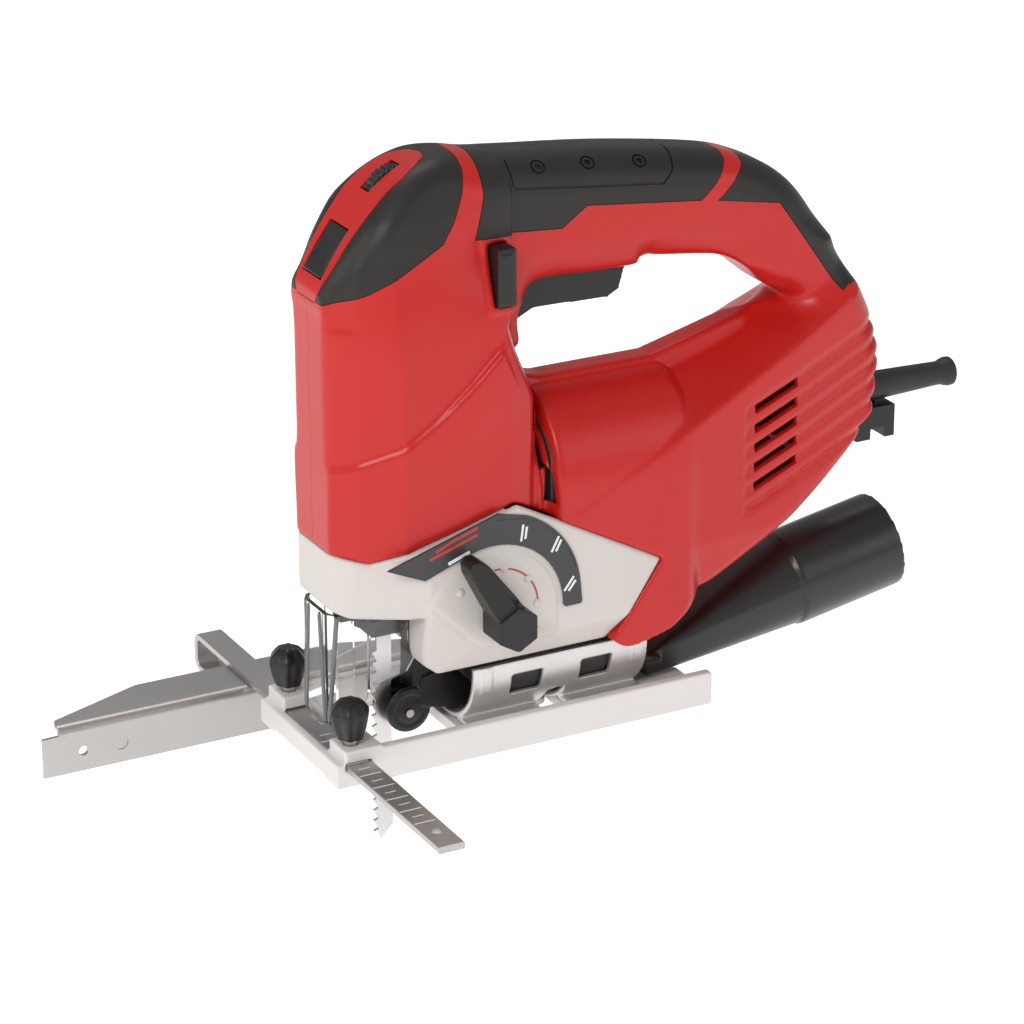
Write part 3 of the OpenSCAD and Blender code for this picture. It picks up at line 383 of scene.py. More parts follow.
def tube_tool(name, centre, axis, outer_r, inner_r, depth, sides=40):
    """A ring or, with no inner radius, a rod, centred at a place in millimetres."""
    form = bmesh.new()
    turn = Vector(axis).to_track_quat("Z", "Y").to_matrix().to_4x4()
    spot = Matrix.Translation(Vector(centre) * MM) @ turn
    section = [(outer_r, -depth), (outer_r, depth)]
    if inner_r:
        section += [(inner_r, depth), (inner_r, -depth)]
    rings = []
    for r, h in section:
        rings.append([form.verts.new(spot @ (Vector((r * math.cos(a), r * math.sin(a), h)) * MM))
                      for a in np.linspace(0, 2 * math.pi, sides, endpoint=False)])
    pairs = list(zip(rings, rings[1:] + rings[:1])) if inner_r else [(rings[0], rings[1])]
    for a, b in pairs:
        for i in range(sides):
            form.faces.new((a[i], a[(i + 1) % sides], b[(i + 1) % sides], b[i]))
    if not inner_r:
        form.faces.new(rings[0][::-1])
        form.faces.new(rings[1])
    bmesh.ops.recalc_face_normals(form, faces=form.faces)
    mesh = bpy.data.meshes.new(name)
    form.to_mesh(mesh)
    form.free()
    tool = bpy.data.objects.new(name, mesh)
    bpy.context.scene.collection.objects.link(tool)
    return tool


def block_tool(name, a, b):
    """A tool with square faces, from corner a to the opposite corner b."""
    return side_prism(name, [(a[0], a[2]), (b[0], a[2]), (b[0], b[2]), (a[0], b[2])], a[1], b[1])


def aimed(tool, place, turn_y):
    """Moves a tool made round the origin to its place, turned about Y."""
    tool.data.transform(Matrix.Translation(Vector(place) * MM) @ Matrix.Rotation(turn_y, 4, "Y"))
    return tool


def plastic_finish(name, colour, roughness, grain_mm=0.35, depth=0.05, shift=0.06, gloss=0.5):
    """Moulded plastic: a fine spark-eroded grain, and a slight drift in tone and polish."""
    finish = bpy.data.materials.new(name)
    finish.use_nodes = True
    nodes, links = finish.node_tree.nodes, finish.node_tree.links
    shader = nodes["Principled BSDF"]
    place = nodes.new("ShaderNodeTexCoord")
    grain = nodes.new("ShaderNodeTexNoise")
    grain.inputs["Scale"].default_value = 1 / (grain_mm * MM)
    grain.inputs["Detail"].default_value = 3
    bump = nodes.new("ShaderNodeBump")
    bump.inputs["Strength"].default_value = 0.35
    bump.inputs["Distance"].default_value = depth * MM
    drift = nodes.new("ShaderNodeTexNoise")
    drift.inputs["Scale"].default_value = 28
    drift.inputs["Detail"].default_value = 4
    tone = nodes.new("ShaderNodeMix")
    tone.data_type = "RGBA"
    tone.inputs[6].default_value = (*[c * (1 - shift) for c in colour], 1)
    tone.inputs[7].default_value = (*[min(c * (1 + shift), 1) for c in colour], 1)
    polish = nodes.new("ShaderNodeMapRange")
    polish.inputs["To Min"].default_value = roughness - 0.05
    polish.inputs["To Max"].default_value = roughness + 0.06
    links.new(place.outputs["Object"], grain.inputs["Vector"])
    links.new(place.outputs["Object"], drift.inputs["Vector"])
    links.new(grain.outputs["Fac"], bump.inputs["Height"])
    links.new(bump.outputs["Normal"], shader.inputs["Normal"])
    links.new(drift.outputs["Fac"], tone.inputs[0])
    links.new(tone.outputs[2], shader.inputs["Base Color"])
    links.new(drift.outputs["Fac"], polish.inputs["Value"])
    links.new(polish.outputs["Result"], shader.inputs["Roughness"])
    shader.inputs["Specular IOR Level"].default_value = gloss
    return finish


def dress(piece, finish, body, slot, *nodes, sharp=35):
    """Gives a finished piece its surface, its place on a body and the nodes it stands for."""
    piece.data.materials.clear()
    piece.data.materials.append(finish)
    shade(piece, sharp)
    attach(piece, body)
    if nodes:
        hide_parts(*nodes)
    return piece


red_nylon = plastic_finish("red_nylon", (0.47, 0.011, 0.008), 0.34, 0.4, 0.03, 0.04, 0.38)
NOSE_ZONE = [(-60, 163.5), (-25, 164.5), (-12, 168.5), (2, 175.5), (14, 182), (18, 188), (22, 196),
             (25, 204), (26, 225), (-60, 225)]
GRIP_ZONE = [(26.5, 181), (44, 180), (61, 178.6), (70.4, 185.2), (114.5, 180.2), (122, 187),
             (126, 191.5), (128, 198), (129, 225), (31.5, 225), (31.5, 205), (30.5, 195), (28, 186)]
REAR_ZONE = [(121, 179), (133, 189), (135.5, 196), (136, 225), (220, 225), (220, 138), (174, 141),
             (171, 139.5), (146, 174.5)]
STRIP_MIDDLE, STRIP_TURN = (-17.6, 0, 178.8), math.radians(-54)
DIAL_MIDDLE, DIAL_ROOM_R, DIAL_ROOM_HALF = (7, 0, 193.6), 11.3, 3.1
BUTTON_ROOM = ((-9.4, -6.9, -14), (9.4, 6.9, 9))
TILT_MIDDLE, TILT_ROOM_R = (58, 0, 25), 22.6
SCREW_ROOM_R = 3.2
FRONT_SCREWS, REAR_SCREWS = [(-15, 150), (41, 134)], [(136, 172), (176, 122)]
LOWER_SCREWS = [(120, 51), (158, 80)]
nose_out = zone_tool("nose_out", grown(NOSE_ZONE, 0.3), under_grip)
grip_out = zone_tool("grip_out", grown(GRIP_ZONE, 0.3), under_grip)
rear_out = zone_tool("rear_out", grown(REAR_ZONE, 0.3), under_grip)
shell = carve(twin(outer, "shell"), core, keep=True)
for tool in (nose_out, grip_out, rear_out):
    carve(shell, tool)


def cradle_room():
    return tube_tool("cradle_room", TILT_MIDDLE, (1, 0, 0), TILT_ROOM_R, 0, 36, 64)


def dial_room():
    return tube_tool("dial_room", DIAL_MIDDLE, (0, 1, 0), DIAL_ROOM_R, 0, DIAL_ROOM_HALF)


def button_room():
    return aimed(block_tool("button_room", *BUTTON_ROOM), STRIP_MIDDLE, STRIP_TURN)


def screw_room(place):
    return tube_tool("screw_room", (place[0], 31, place[1]), (0, 1, 0), SCREW_ROOM_R, 0, 15)


# Room for the base's cradle, trigger, lock button, dial, push button, cord sleeve and key clip.
carve(shell, cradle_room())
carve(shell, block_tool("trigger_slot", (45.2, -7, 140), (91.9, 7, 177)))
carve(shell, block_tool("lock_pocket", (LOCK_X0, -40, LOCK_Z0), (LOCK_X1, -12, LOCK_Z1)))
carve(shell, dial_room())
carve(shell, button_room())
carve(shell, tube_tool("sleeve_hole", (190, 0, 94), (1, 0, 0), 5.6, 0, 10))
carve(shell, block_tool("clip_hole", (176, -6.3, 79.7), (215, 6.3, 88.3)))
for i in range(LOUVRES):
    sills = [LOUVRE_SILL + LOUVRE_PITCH * i + LOUVRE_RISE * (end - LOUVRE_X) for end in LOUVRE_ENDS]
    heads = [sill + LOUVRE_GAP for sill in sills]
    line = list(zip(LOUVRE_ENDS, sills)) + list(zip(LOUVRE_ENDS, heads))[::-1]
    carve(shell, side_prism("louvre", line, -45, 45))
WAIST_VENTS = [
    [(46.3, 111), (48, 111), (48.6, 123), (46.6, 124)],
    [(48.6, 97), (51, 97.5), (50.3, 110), (48.6, 113)],
    [(49.6, 86.5), (53.3, 85.5), (52.8, 96), (50.6, 99.5)],
]
for line in WAIST_VENTS:
    carve(shell, side_prism("waist_vent", line, -45, 45))
for place in FRONT_SCREWS + REAR_SCREWS + LOWER_SCREWS:
    carve(shell, screw_room(place))

left = carve(twin(shell, "housing_left_shell"), block_tool("right_side", (-80, -0.06, -20), (240, 60, 260)))
right = carve(shell, block_tool("left_side", (-80, -60, -20), (240, 0.06, 260)))
right.name = "housing_right_shell"
dress(left, red_nylon, "housing", "red_shell", "housing_left", sharp=50)
dress(right, red_nylon, "housing", "red_shell", "housing_right", sharp=50)

# ---------------------------------------------------------------------------
# Soft grips. A dark elastomer moulded over the shells: two cheeks on the nose,
# a sleeve over the handle with a thumb panel, and a pad down the rear post.
soft_grip = plastic_finish("soft_grip", (0.016, 0.0145, 0.013), 0.45, 0.3, 0.06, 0.1, 0.35)
strip_half = [(-17.2, 6.4), (-13, 8.8), (0, 10.6), (20, 12), (32, 11.4), (38, 9), (42, 5), (43.2, 0)]
strip_line = [(u, -v) for u, v in strip_half] + strip_half[-2::-1]


def strip_tool(name, gap, core_form):
    """The strip's outline, cut square to the nose's slope."""
    line = grown(strip_line, gap)
    tool = side_prism(name, [(u, v) for u, v in line], -25, 25)
    tool.data.transform(Matrix.Rotation(math.radians(90), 4, "X"))
    aimed(tool, STRIP_MIDDLE, STRIP_TURN)
    return carve(tool, core_form, keep=True) if core_form else tool


THUMB_RINGS = [(53.7, 12.6, 200), (72.6, 12, 198.4), (92.5, 11.8, 196)]
cheeks = carve(twin(outer, "nose_cheek_pads"), zone_tool("nose_in", NOSE_ZONE, under_grip), "INTERSECT")
carve(cheeks, strip_tool("strip_gap", 0.25, None))
handle_pad = carve(twin(outer, "handle_sleeve"), zone_tool("grip_in", GRIP_ZONE, under_grip), "INTERSECT")
PANEL = [(42.6, 203), (43, 194.8), (70, 191.6), (99.8, 188.3), (104, 192), (106, 197.5)]
for y0, y1 in ((-45, -2), (2, 45)):
    carve(handle_pad, zone_tool("panel_groove", band(PANEL, 0.7), under_groove, y0, y1))
for side in (-1, 1):
    for x0, y0, z0 in THUMB_RINGS:
        spot, aim = (x0, side * y0, z0), (0, side * 0.65, 0.76)
        carve(handle_pad, tube_tool("thumb_ring", spot, aim, 2.7, 2.0, 0.9))
        carve(handle_pad, tube_tool("thumb_dot", spot, aim, 1.1, 0, 0.8))
rear_pad = carve(twin(outer, "rear_post_pad"), zone_tool("rear_in", REAR_ZONE, under_grip), "INTERSECT")
for place in REAR_SCREWS:
    carve(rear_pad, screw_room(place))
dress(cheeks, soft_grip, "housing", "soft_grip", "nose_cheeks", sharp=50)
dress(handle_pad, soft_grip, "housing", "soft_grip", "handle_grip", sharp=50)
dress(rear_pad, soft_grip, "housing", "soft_grip", "rear_grip", sharp=50)

# ---------------------------------------------------------------------------
# Nose strip. A red nylon strip let in between the cheeks. It frames the speed
# dial and the push button, and clips in from above.
strip = carve(twin(outer, "nose_strip_cover"), strip_tool("strip_in", 0, under_grip), "INTERSECT")
carve(strip, dial_room())
carve(strip, button_room())
dress(strip, red_nylon, "housing", "red_shell", "nose_strip", sharp=50)
for form in (outer, core, under_grip, under_groove):
    bpy.data.objects.remove(form)

# ---------------------------------------------------------------------------
# Gear housing. A light alloy casting, painted pale grey, screwed up against
# the shells. Its left side has a raised pad for the pendulum knob.
cast_paint = plastic_finish("cast_paint", (0.56, 0.52, 0.49), 0.38, 0.5, 0.035, 0.03, 0.5)
GEAR_EDGE = [(-25, 77), (-25, 57.5), (-24, 56), (-20, 54.5), (3, 54), (3, 38.5), (4, 35), (9, 31),
             (73.3, 31), (74, 32), (93.5, 58.5), (37, 89), (-14, 74.5)]
PAD_MIDDLE, PAD_R = (27, 50), 24.6
KNOB_AXIS = (28.8, 54)
STEP_DOTS = [(30.9, 67.9), (40.1, 62.3), (43.5, 52.8), (14.5, 62.4)]
PLATE_FACE = -31.2

CASTING_SCREWS = [(-4, 70), (14, 72), (58, 56), (80, 52)]
CASTING_CORES = [
    ((8.5, -7, 20), (34, 7, 61)),
    ((8.5, -10, 20), (37.9, 10, 44)),
    ((-21.5, -15.5, 20), (11.5, 15.5, 64.5)),
    ((24.95, -20.05, 62), (33.05, 20.05, 95)),
    ((8, -25, 80), (25.5, 25, 95)),
]


def bend(middle, r, start, end, steps=8):
    """Points along an arc, between two angles in degrees."""
    return [(middle[0] + r * math.cos(a), middle[1] + r * math.sin(a))
            for a in np.radians(np.linspace(start, end, steps))]


pad_line = bend(PAD_MIDDLE, PAD_R, 8, 158, 30) + [(20, 43.5), (26, 40), (49.7, 39.5), (51.4, 42)]
low, high = (-28, -35, 28), (98, 35, 92)
gear_step = 0.6
x, y, z = voxel_grid(low, high, gear_step)
side_x, side_z = np.broadcast_arrays(x[:, 0, :], z[0, 0, :][None, :])
edge = outline_distance(np.array(GEAR_EDGE, float), side_x, side_z)
plan = np.interp(side_x, [-25, -22, -19, -4, 4, 80, 95], [12.5, 16.8, 19.2, 27, 30.5, 30.5, 29])
below_crease = np.maximum(0, -0.722 * (side_x - 6.6) - 0.694 * (side_z - 54.7)) * ease(0, 6, side_x + 3)
flank = plan - soft_most(0.33 * below_crease, 0.54 * np.maximum(0, 41 - side_z), 0.6)
pad = 0.75 * ease(-0.5, 0.5, -outline_distance(np.array(pad_line), side_x, side_z))
side_gap = np.where(y < 0, -y - (flank + pad)[:, None, :], y - flank[:, None, :])
gear_field = rounded_meet(edge[:, None, :], side_gap, np.full_like(flank, 1.6)[:, None, :])
gear_cover = moulded("gear_housing_cast", gear_field, low, gear_step)
carve(gear_cover, cradle_room())
for a, b in CASTING_CORES:
    carve(gear_cover, block_tool("casting_core", a, b))
carve(gear_cover, tube_tool("motor_bore", (72.5, 0, MOTOR_Z), (1, 0, 0), 28.5, 0, 39.5, 64))
carve(gear_cover, tube_tool("rod_bore", (0, 0, 82), (0, 0, 1), 5.6, 0, 19))
carve(gear_cover, tube_tool("knob_bore", (KNOB_AXIS[0], -20, KNOB_AXIS[1]), (0, 1, 0), 4.05, 0, 13))
for sx, sz in CASTING_SCREWS:
    carve(gear_cover, tube_tool("screw_sink", (sx, 30, sz), (0, 1, 0), 3.05, 0, 4))
dress(gear_cover, cast_paint, "housing", "cast_housing", "gear_housing", sharp=50)


def turned(name, profile, place, axis, sides=48, lobes=0, lobe_mm=0.0):
    """A form turned round an axis from (radius, height) pairs in millimetres, with round lobes if asked."""
    form = bmesh.new()
    spot = Matrix.Translation(Vector(place) * MM) @ Vector(axis).to_track_quat("Z", "Y").to_matrix().to_4x4()
    rings = []
    for r, h in profile:
        ring = []
        for a in np.linspace(0, 2 * math.pi, sides, endpoint=False):
            wide = r + lobe_mm * min(1, r / 5) * math.cos(lobes * a)
            ring.append(form.verts.new(spot @ (Vector((wide * math.cos(a), wide * math.sin(a), h)) * MM)))
        rings.append(ring)
    for a, b in zip(rings, rings[1:]):
        for i in range(sides):
            form.faces.new((a[i], a[(i + 1) % sides], b[(i + 1) % sides], b[i]))
    form.faces.new(rings[0][::-1])
    form.faces.new(rings[-1])
    bmesh.ops.recalc_face_normals(form, faces=form.faces)
    mesh = bpy.data.meshes.new(name)
    form.to_mesh(mesh)
    form.free()
    piece = bpy.data.objects.new(name, mesh)
    bpy.context.scene.collection.objects.link(piece)
    return piece


def joined(name, *parts):
    """One piece from several closed ones."""
    form = bmesh.new()
    for part in parts:
        form.from_mesh(part.data)
        bpy.data.objects.remove(part)
    mesh = bpy.data.meshes.new(name)
    form.to_mesh(mesh)
    form.free()
    piece = bpy.data.objects.new(name, mesh)
    bpy.context.scene.collection.objects.link(piece)
    return piece


DOT = [(1.5, -0.4), (1.5, 0.1), (1.1, 0.45), (0.4, 0.6)]
dots = [turned("dot", DOT, (dx, PLATE_FACE, dz), (0, -1, 0), 20) for dx, dz in STEP_DOTS]
dress(joined("step_dots", *dots), cast_paint, "housing", "cast_housing", sharp=40)

# ---------------------------------------------------------------------------
# Dial plate. A dark plastic plate, 0.9 mm thick, glued round the pad. It has a
# fine groove as a border, and printed strokes for the pendulum steps.
plate_black = plastic_finish("plate_black", (0.03, 0.03, 0.032), 0.34, 0.8, 0.01, 0.08)
PRINT_FACE, PRINT_BACK = PLATE_FACE - 0.12, PLATE_FACE + 0.1
outer_arc = bend((26.8, 54.5), 33.5, 2, 66, 14)
plate_line = [(53.8, 49.9), (54.5, 49.2), (60.3, 49.3), (60.9, 50)] + outer_arc[1:]
plate_line += [(29, 88), (26.7, 87.3), (-12.4, 75.3), (1.4, 69.2)] + bend(PAD_MIDDLE, 26.9, 112, 4, 20)
plate = side_prism("pendulum_dial_plate", plate_line, PLATE_FACE, PLATE_FACE + 0.9)
border_line = np.array(outer_arc[3:] + [(28.5, 86.8)]) - 0.7
carve(plate, side_prism("border", band(border_line, 0.35), PLATE_FACE - 0.8, PLATE_FACE + 0.18))
dress(plate, plate_black, "housing", "scale_plate", "step_plate", sharp=30)
mark_white = plastic_finish("mark_white", (0.75, 0.75, 0.74), 0.4, 0.5, 0.005, 0.02)
strokes = []
for sx, sz, lean in ((38.5, 79.4, 82), (51, 72.6, 62), (56.3, 57, 52)):
    run, rise = math.cos(math.radians(lean)), math.sin(math.radians(lean))
    for shift, half in ((-0.75, 3.0), (0.75, 2.2)):
        cx, cz = sx + shift * rise, sz - shift * run
        line = [(cx - run * half, cz - rise * half), (cx, cz), (cx + run * half, cz + rise * half)]
        strokes.append(side_prism("stroke", band(line, 0.8), PRINT_FACE, PRINT_BACK))
white_bar = band([(10, 73.7), (14, 75.1), (18, 76.5)], 1.2)
strokes.append(side_prism("stroke", white_bar, PRINT_FACE, PRINT_BACK))
dress(joined("pendulum_strokes", *strokes), mark_white, "housing", "scale_plate", sharp=30)
red_print = plastic_finish("red_print", (0.40, 0.03, 0.02), 0.4, 0.5, 0.005, 0.05)
arc_line = bend((KNOB_AXIS[0], KNOB_AXIS[1] - 0.9), 14.9, 2, 96, 30)
accents = [side_prism("step_arc", band(arc_line, 0.55), PLATE_FACE - 0.13, PLATE_FACE)]
for shift in (0, 2.4):
    line = [(3 + shift, 76.4 + shift), (12, 79.3 + shift), (21, 82.2 + shift)]
    accents.append(side_prism("accent", band(line, 1.1), PRINT_FACE, PRINT_BACK))
dress(joined("red_accents", *accents), red_print, "housing", "cast_housing", sharp=30)

# ---------------------------------------------------------------------------
# Trigger, push button, clamp lever and key clip, moulded in black nylon, and
# the blade clamp and the saddle, which are dark castings. The saddle is screwed
# up under the gear housing. All have the soft edges of a mould.

def melted(piece, voxel, passes):
    """The same form with its edges rounded by about a voxel."""
    skin = piece.modifiers.new("even_skin", "REMESH")
    skin.mode = "VOXEL"
    skin.voxel_size = voxel * MM
    melt = piece.modifiers.new("melt", "SMOOTH")
    melt.factor = 0.5
    melt.iterations = passes
    settle(piece)
    return piece


def softened(name, node, voxel, passes):
    """A copy of the node's own form with its edges rounded."""
    return melted(twin(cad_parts[node], name), voxel, passes)


def metal_finish(name, colour, roughness, grain_mm=0.6, depth=0.01, shift=0.05, stretch=(1, 1, 1),
                 metallic=1.0):
    """Bare or plated metal: its own colour, with fine working marks along one way."""
    finish = plastic_finish(name, colour, roughness, grain_mm, depth, shift)
    nodes, links = finish.node_tree.nodes, finish.node_tree.links
    nodes["Principled BSDF"].inputs["Metallic"].default_value = metallic
    along = nodes.new("ShaderNodeMapping")
    along.inputs["Scale"].default_value = stretch
    place = next(n for n in nodes if n.bl_idname == "ShaderNodeTexCoord")
    grain = next(n for n in nodes if n.bl_idname == "ShaderNodeTexNoise")
    links.new(place.outputs["Object"], along.inputs["Vector"])
    links.new(along.outputs["Vector"], grain.inputs["Vector"])
    return finish


black_nylon = plastic_finish("black_nylon", (0.010, 0.0095, 0.009), 0.4, 0.35, 0.04, 0.15, 0.4)
dress(softened("trigger_lever", "trigger", 0.5, 4), black_nylon, "trigger", "black_plastic",
      "trigger", sharp=60)
dress(softened("push_button_cap", "top_button", 0.35, 9), black_nylon, "top_button", "black_plastic",
      "top_button", sharp=60)
dress(softened("clamp_turn_lever", "clamp_lever", 0.4, 3), black_nylon, "clamp_lever", "black_plastic",
      "clamp_lever", sharp=60)
dress(softened("hex_key_clip", "key_clip", 0.4, 4), black_nylon, "housing", "black_plastic",
      "key_clip", sharp=60)
clamp_grey = metal_finish("clamp_grey", (0.06, 0.058, 0.056), 0.42, 0.5, 0.02, 0.1, metallic=0.4)
dress(softened("blade_clamp_block", "blade_clamp", 0.4, 3), clamp_grey, "plunger", "clamp_steel",
      "blade_clamp", sharp=60)
dress(softened("saddle_cast", "saddle", 0.6, 2), clamp_grey, "housing", "cast_housing",
      "saddle", sharp=50)

# ---------------------------------------------------------------------------
# Pendulum knob. Black nylon: a six-sided cap over the shaft, with a tail and a
# finger bar that slopes down to its rounded tip.
BAR_ANGLE = math.radians(122)
TIP_SLOPE = math.radians(9)
BAR_FACE, CAP_FACE, CAP_R = -43.6, -45.2, 8.1
KNOB_BAR = [(-8, -5.2), (6, -5), (22, -3.6), (25, -2.2), (26, 0), (25, 2.2), (22, 3.6), (6, 5), (-8, 5.2)]
GRIP_GROOVE = [(4, -3.6), (12, -3.1), (21, -2.2)]


def knob_line(points):
    """Points given along the bar and across it, as places in the side view."""
    c, s = math.cos(BAR_ANGLE), math.sin(BAR_ANGLE)
    return [(KNOB_AXIS[0] + a * c - b * s, KNOB_AXIS[1] + a * s + b * c) for a, b in points]


knob = side_prism("knob_bar", knob_line(KNOB_BAR), BAR_FACE, -32.2)
cap_line = bend(knob_line([(-3, 1.2)])[0], CAP_R, -90, 210, 6)
carve(knob, side_prism("knob_cap", cap_line, CAP_FACE, -31.8), "UNION")
carve(knob, side_prism("knob_groove", band(knob_line(GRIP_GROOVE), 1.1), -50, -42.6))
carve(knob, tube_tool("knob_shaft", (KNOB_AXIS[0], -20.5, KNOB_AXIS[1]), (0, 1, 0), 4, 0, 13), "UNION")
slope = block_tool("tip_slope", (-8, -60, -20), (34, BAR_FACE, 20))
slope.data.transform(Matrix.Translation(Vector((8, -BAR_FACE, 0)) * MM))
slope.data.transform(Matrix.Rotation(TIP_SLOPE, 4, "Z"))
slope.data.transform(Matrix.Translation(Vector((6, BAR_FACE, 0)) * MM))
slope.data.transform(Matrix.Rotation(-BAR_ANGLE, 4, "Y"))
slope.data.transform(Matrix.Translation(Vector((KNOB_AXIS[0], 0, KNOB_AXIS[1])) * MM))
carve(knob, slope)
melted(knob, 0.4, 4)
knob.name = "pendulum_knob_bar"
dress(knob, black_nylon, "pendulum_knob", "black_plastic", "pendulum_knob", sharp=50)

# ---------------------------------------------------------------------------
# Lock button and speed dial. Both are black nylon: a long cap with a ridge, and
# a ribbed wheel that stands just proud of its slot.
lock_cap = block_tool("lock_button_cap", (31.4, -27, 158.6), (38.2, -14, 178.4))
carve(lock_cap, block_tool("ridge", (33, -27.6, 160.4), (36.6, -26, 176.6)), "UNION")
dress(melted(lock_cap, 0.4, 3), black_nylon, "lock_button", "black_plastic", "lock_button", sharp=60)
WHEEL = [(9.6, -2.6), (10.4, -2.3), (10.6, -1.8), (10.6, 1.8), (10.4, 2.3), (9.6, 2.6)]
wheel = turned("speed_dial_wheel", WHEEL, DIAL_MIDDLE, (0, 1, 0), 180, 30, 0.28)
dress(wheel, black_nylon, "speed_dial", "black_plastic", "speed_dial", sharp=50)

# ---------------------------------------------------------------------------
# Pendulum lever and guide roller. The lever is a black nylon fork with two
# round cheeks; the grooved roller turns between them on a steel pin.
PIVOT, ROLLER_PIN = (15, 0, 50), (6.7, 0, 10)
FORK_HALF = 4.05
ARM = [(12.4, 50), (9.4, 32), (9, 17), (15, 14), (18, 12), (20.5, 20.5), (14.8, 24.5), (14.6, 31),
       (17.4, 40), (17.5, 50)]
HEEL = [(12, 22), (10, 12), (18, 9.4), (22, 9), (31, 8.7), (34.3, 11), (29.5, 18), (19.5, 23.5)]
CHEEK = [(7.4, 0), (8.2, 0.5), (8.2, 1.9), (7.6, 2.5), (6.1, 2.7), (5.8, 2.3), (4.4, 2.3), (4.1, 2.8),
         (2.6, 2.9)]
arm = side_prism("pendulum_arm", ARM, -5.4, 5.4)
carve(arm, side_prism("heel", HEEL, -6.9, 6.9), "UNION")
for side in (-1, 1):
    carve(arm, turned("cheek", CHEEK, (7.2, side * 4.1, 10.6), (0, side, 0), 64), "UNION")
carve(arm, tube_tool("pivot_boss", PIVOT, (0, 1, 0), 4.5, 0, 5.5), "UNION")
carve(arm, tube_tool("pivot_hole", PIVOT, (0, 1, 0), 2.55, 0, 9))
carve(arm, tube_tool("roller_room", ROLLER_PIN, (0, 1, 0), 6.9, 0, FORK_HALF))
carve(arm, block_tool("blade_room", (-6, -FORK_HALF, 0), (ROLLER_PIN[0], FORK_HALF, 20)))
carve(arm, tube_tool("pin_hole", ROLLER_PIN, (0, 1, 0), 1.5, 0, 12))
melted(arm, 0.38, 2)
dress(arm, black_nylon, "pendulum_lever", "black_plastic", "pendulum_lever", sharp=50)
dress(softened("guide_wheel", "guide_roller", 0.3, 1), black_nylon, "guide_roller", "black_plastic",
      "guide_roller", sharp=50)

# ---------------------------------------------------------------------------
# Thumb screws of the guide. Black nylon barrels with six lobes and a domed
# top, moulded on a bright steel stud.
BRIDGE_Y, SCREW_X = 24.5, -24
bright_steel = metal_finish("bright_steel", (0.62, 0.61, 0.60), 0.28, 0.4, 0.008, 0.05)
BARREL = [(3.6, 15), (4.3, 15.2), (4.9, 17), (5.7, 19.5), (6.3, 22.5), (6.5, 24), (6.4, 25),
          (5.9, 25.9), (4.9, 27.2), (3.7, 28.5), (2.6, 29.1), (1.2, 29.3)]
STUD = [(2.2, 8.8), (2.45, 9.1), (2.45, 15.5)]
for side, word in ((-1, "left"), (1, "right")):
    spot = (SCREW_X, side * BRIDGE_Y, 0)
    screw = turned("thumb_screw_" + word, BARREL, spot, (0, 0, 1), 72, 6, 0.45)
    dress(screw, black_nylon, "guide_knob_" + word, "black_plastic", "guide_knob_" + word, sharp=40)
    stud = turned("thumb_stud_" + word, STUD, spot, (0, 0, 1), 32)
    dress(stud, bright_steel, "guide_knob_" + word, "screw_steel", sharp=40)

# ---------------------------------------------------------------------------
# Base plate and bevel cradle. The plate is a light alloy casting in pale
# paint; the half-round cradle on it is bare, satin-tumbled alloy.
base_paint = plastic_finish("base_paint", (0.66, 0.63, 0.615), 0.42, 0.6, 0.03, 0.03, 0.45)
satin_alloy = metal_finish("satin_alloy", (0.66, 0.65, 0.635), 0.42, 0.5, 0.015, 0.04, metallic=0.75)
dress(softened("base_casting", "base_plate", 0.55, 2), base_paint, "base", "base_alloy",
      "base_plate", sharp=50)
dress(softened("cradle_casting", "bevel_cradle", 0.45, 2), satin_alloy, "base", "cradle_alloy",
      "bevel_cradle", sharp=50)

# ---------------------------------------------------------------------------
# Parallel guide. Galvanised steel: a flat bar with a hooked end and a scale
# pressed in, and a fence of folded sheet with a tapered flange.
zinc = metal_finish("zinc_plate", (0.44, 0.43, 0.415), 0.36, 1.6, 0.01, 0.10, metallic=0.85)
SHEET_EDGE_R = 0.3
BAR_MID_Z, BAR_HALF, BAR_THICK = 6.95, 4.7, 2.5
SCALE_MARKS, SCALE_START, SCALE_STEP = 8, -80.8, 10
FENCE_TOP, FENCE_MID_Y, FENCE_THICK = 5.7, 47.3, 1.6


def bent_strip(name, path, reaches, middle_x, thick):
    """Sheet metal bent along a path in the Y-Z plane; reaches gives its half width at each point."""
    path = np.array(path, float)
    along = np.gradient(path, axis=0)
    along /= np.linalg.norm(along, axis=1)[:, None]
    off = np.stack([-along[:, 1], along[:, 0]], 1)
    h, r = thick / 2, SHEET_EDGE_R
    form = bmesh.new()
    rings = []
    for (py, pz), (oy, oz), reach in zip(path, off, reaches):
        section = [(-reach + r, h), (reach - r, h), (reach, h - r), (reach, r - h),
                   (reach - r, -h), (r - reach, -h), (-reach, r - h), (-reach, h - r)]
        rings.append([form.verts.new(Vector((middle_x + a, py + oy * b, pz + oz * b)) * MM)
                      for a, b in section])
    n = len(rings[0])
    for a, b in zip(rings, rings[1:]):
        for i in range(n):
            form.faces.new((a[i], a[(i + 1) % n], b[(i + 1) % n], b[i]))
    form.faces.new(rings[0][::-1])
    form.faces.new(rings[-1])
    bmesh.ops.recalc_face_normals(form, faces=form.faces)
    bmesh.ops.triangulate(form, faces=form.faces)
    mesh = bpy.data.meshes.new(name)
    form.to_mesh(mesh)
    form.free()
    piece = bpy.data.objects.new(name, mesh)
    bpy.context.scene.collection.objects.link(piece)
    return piece


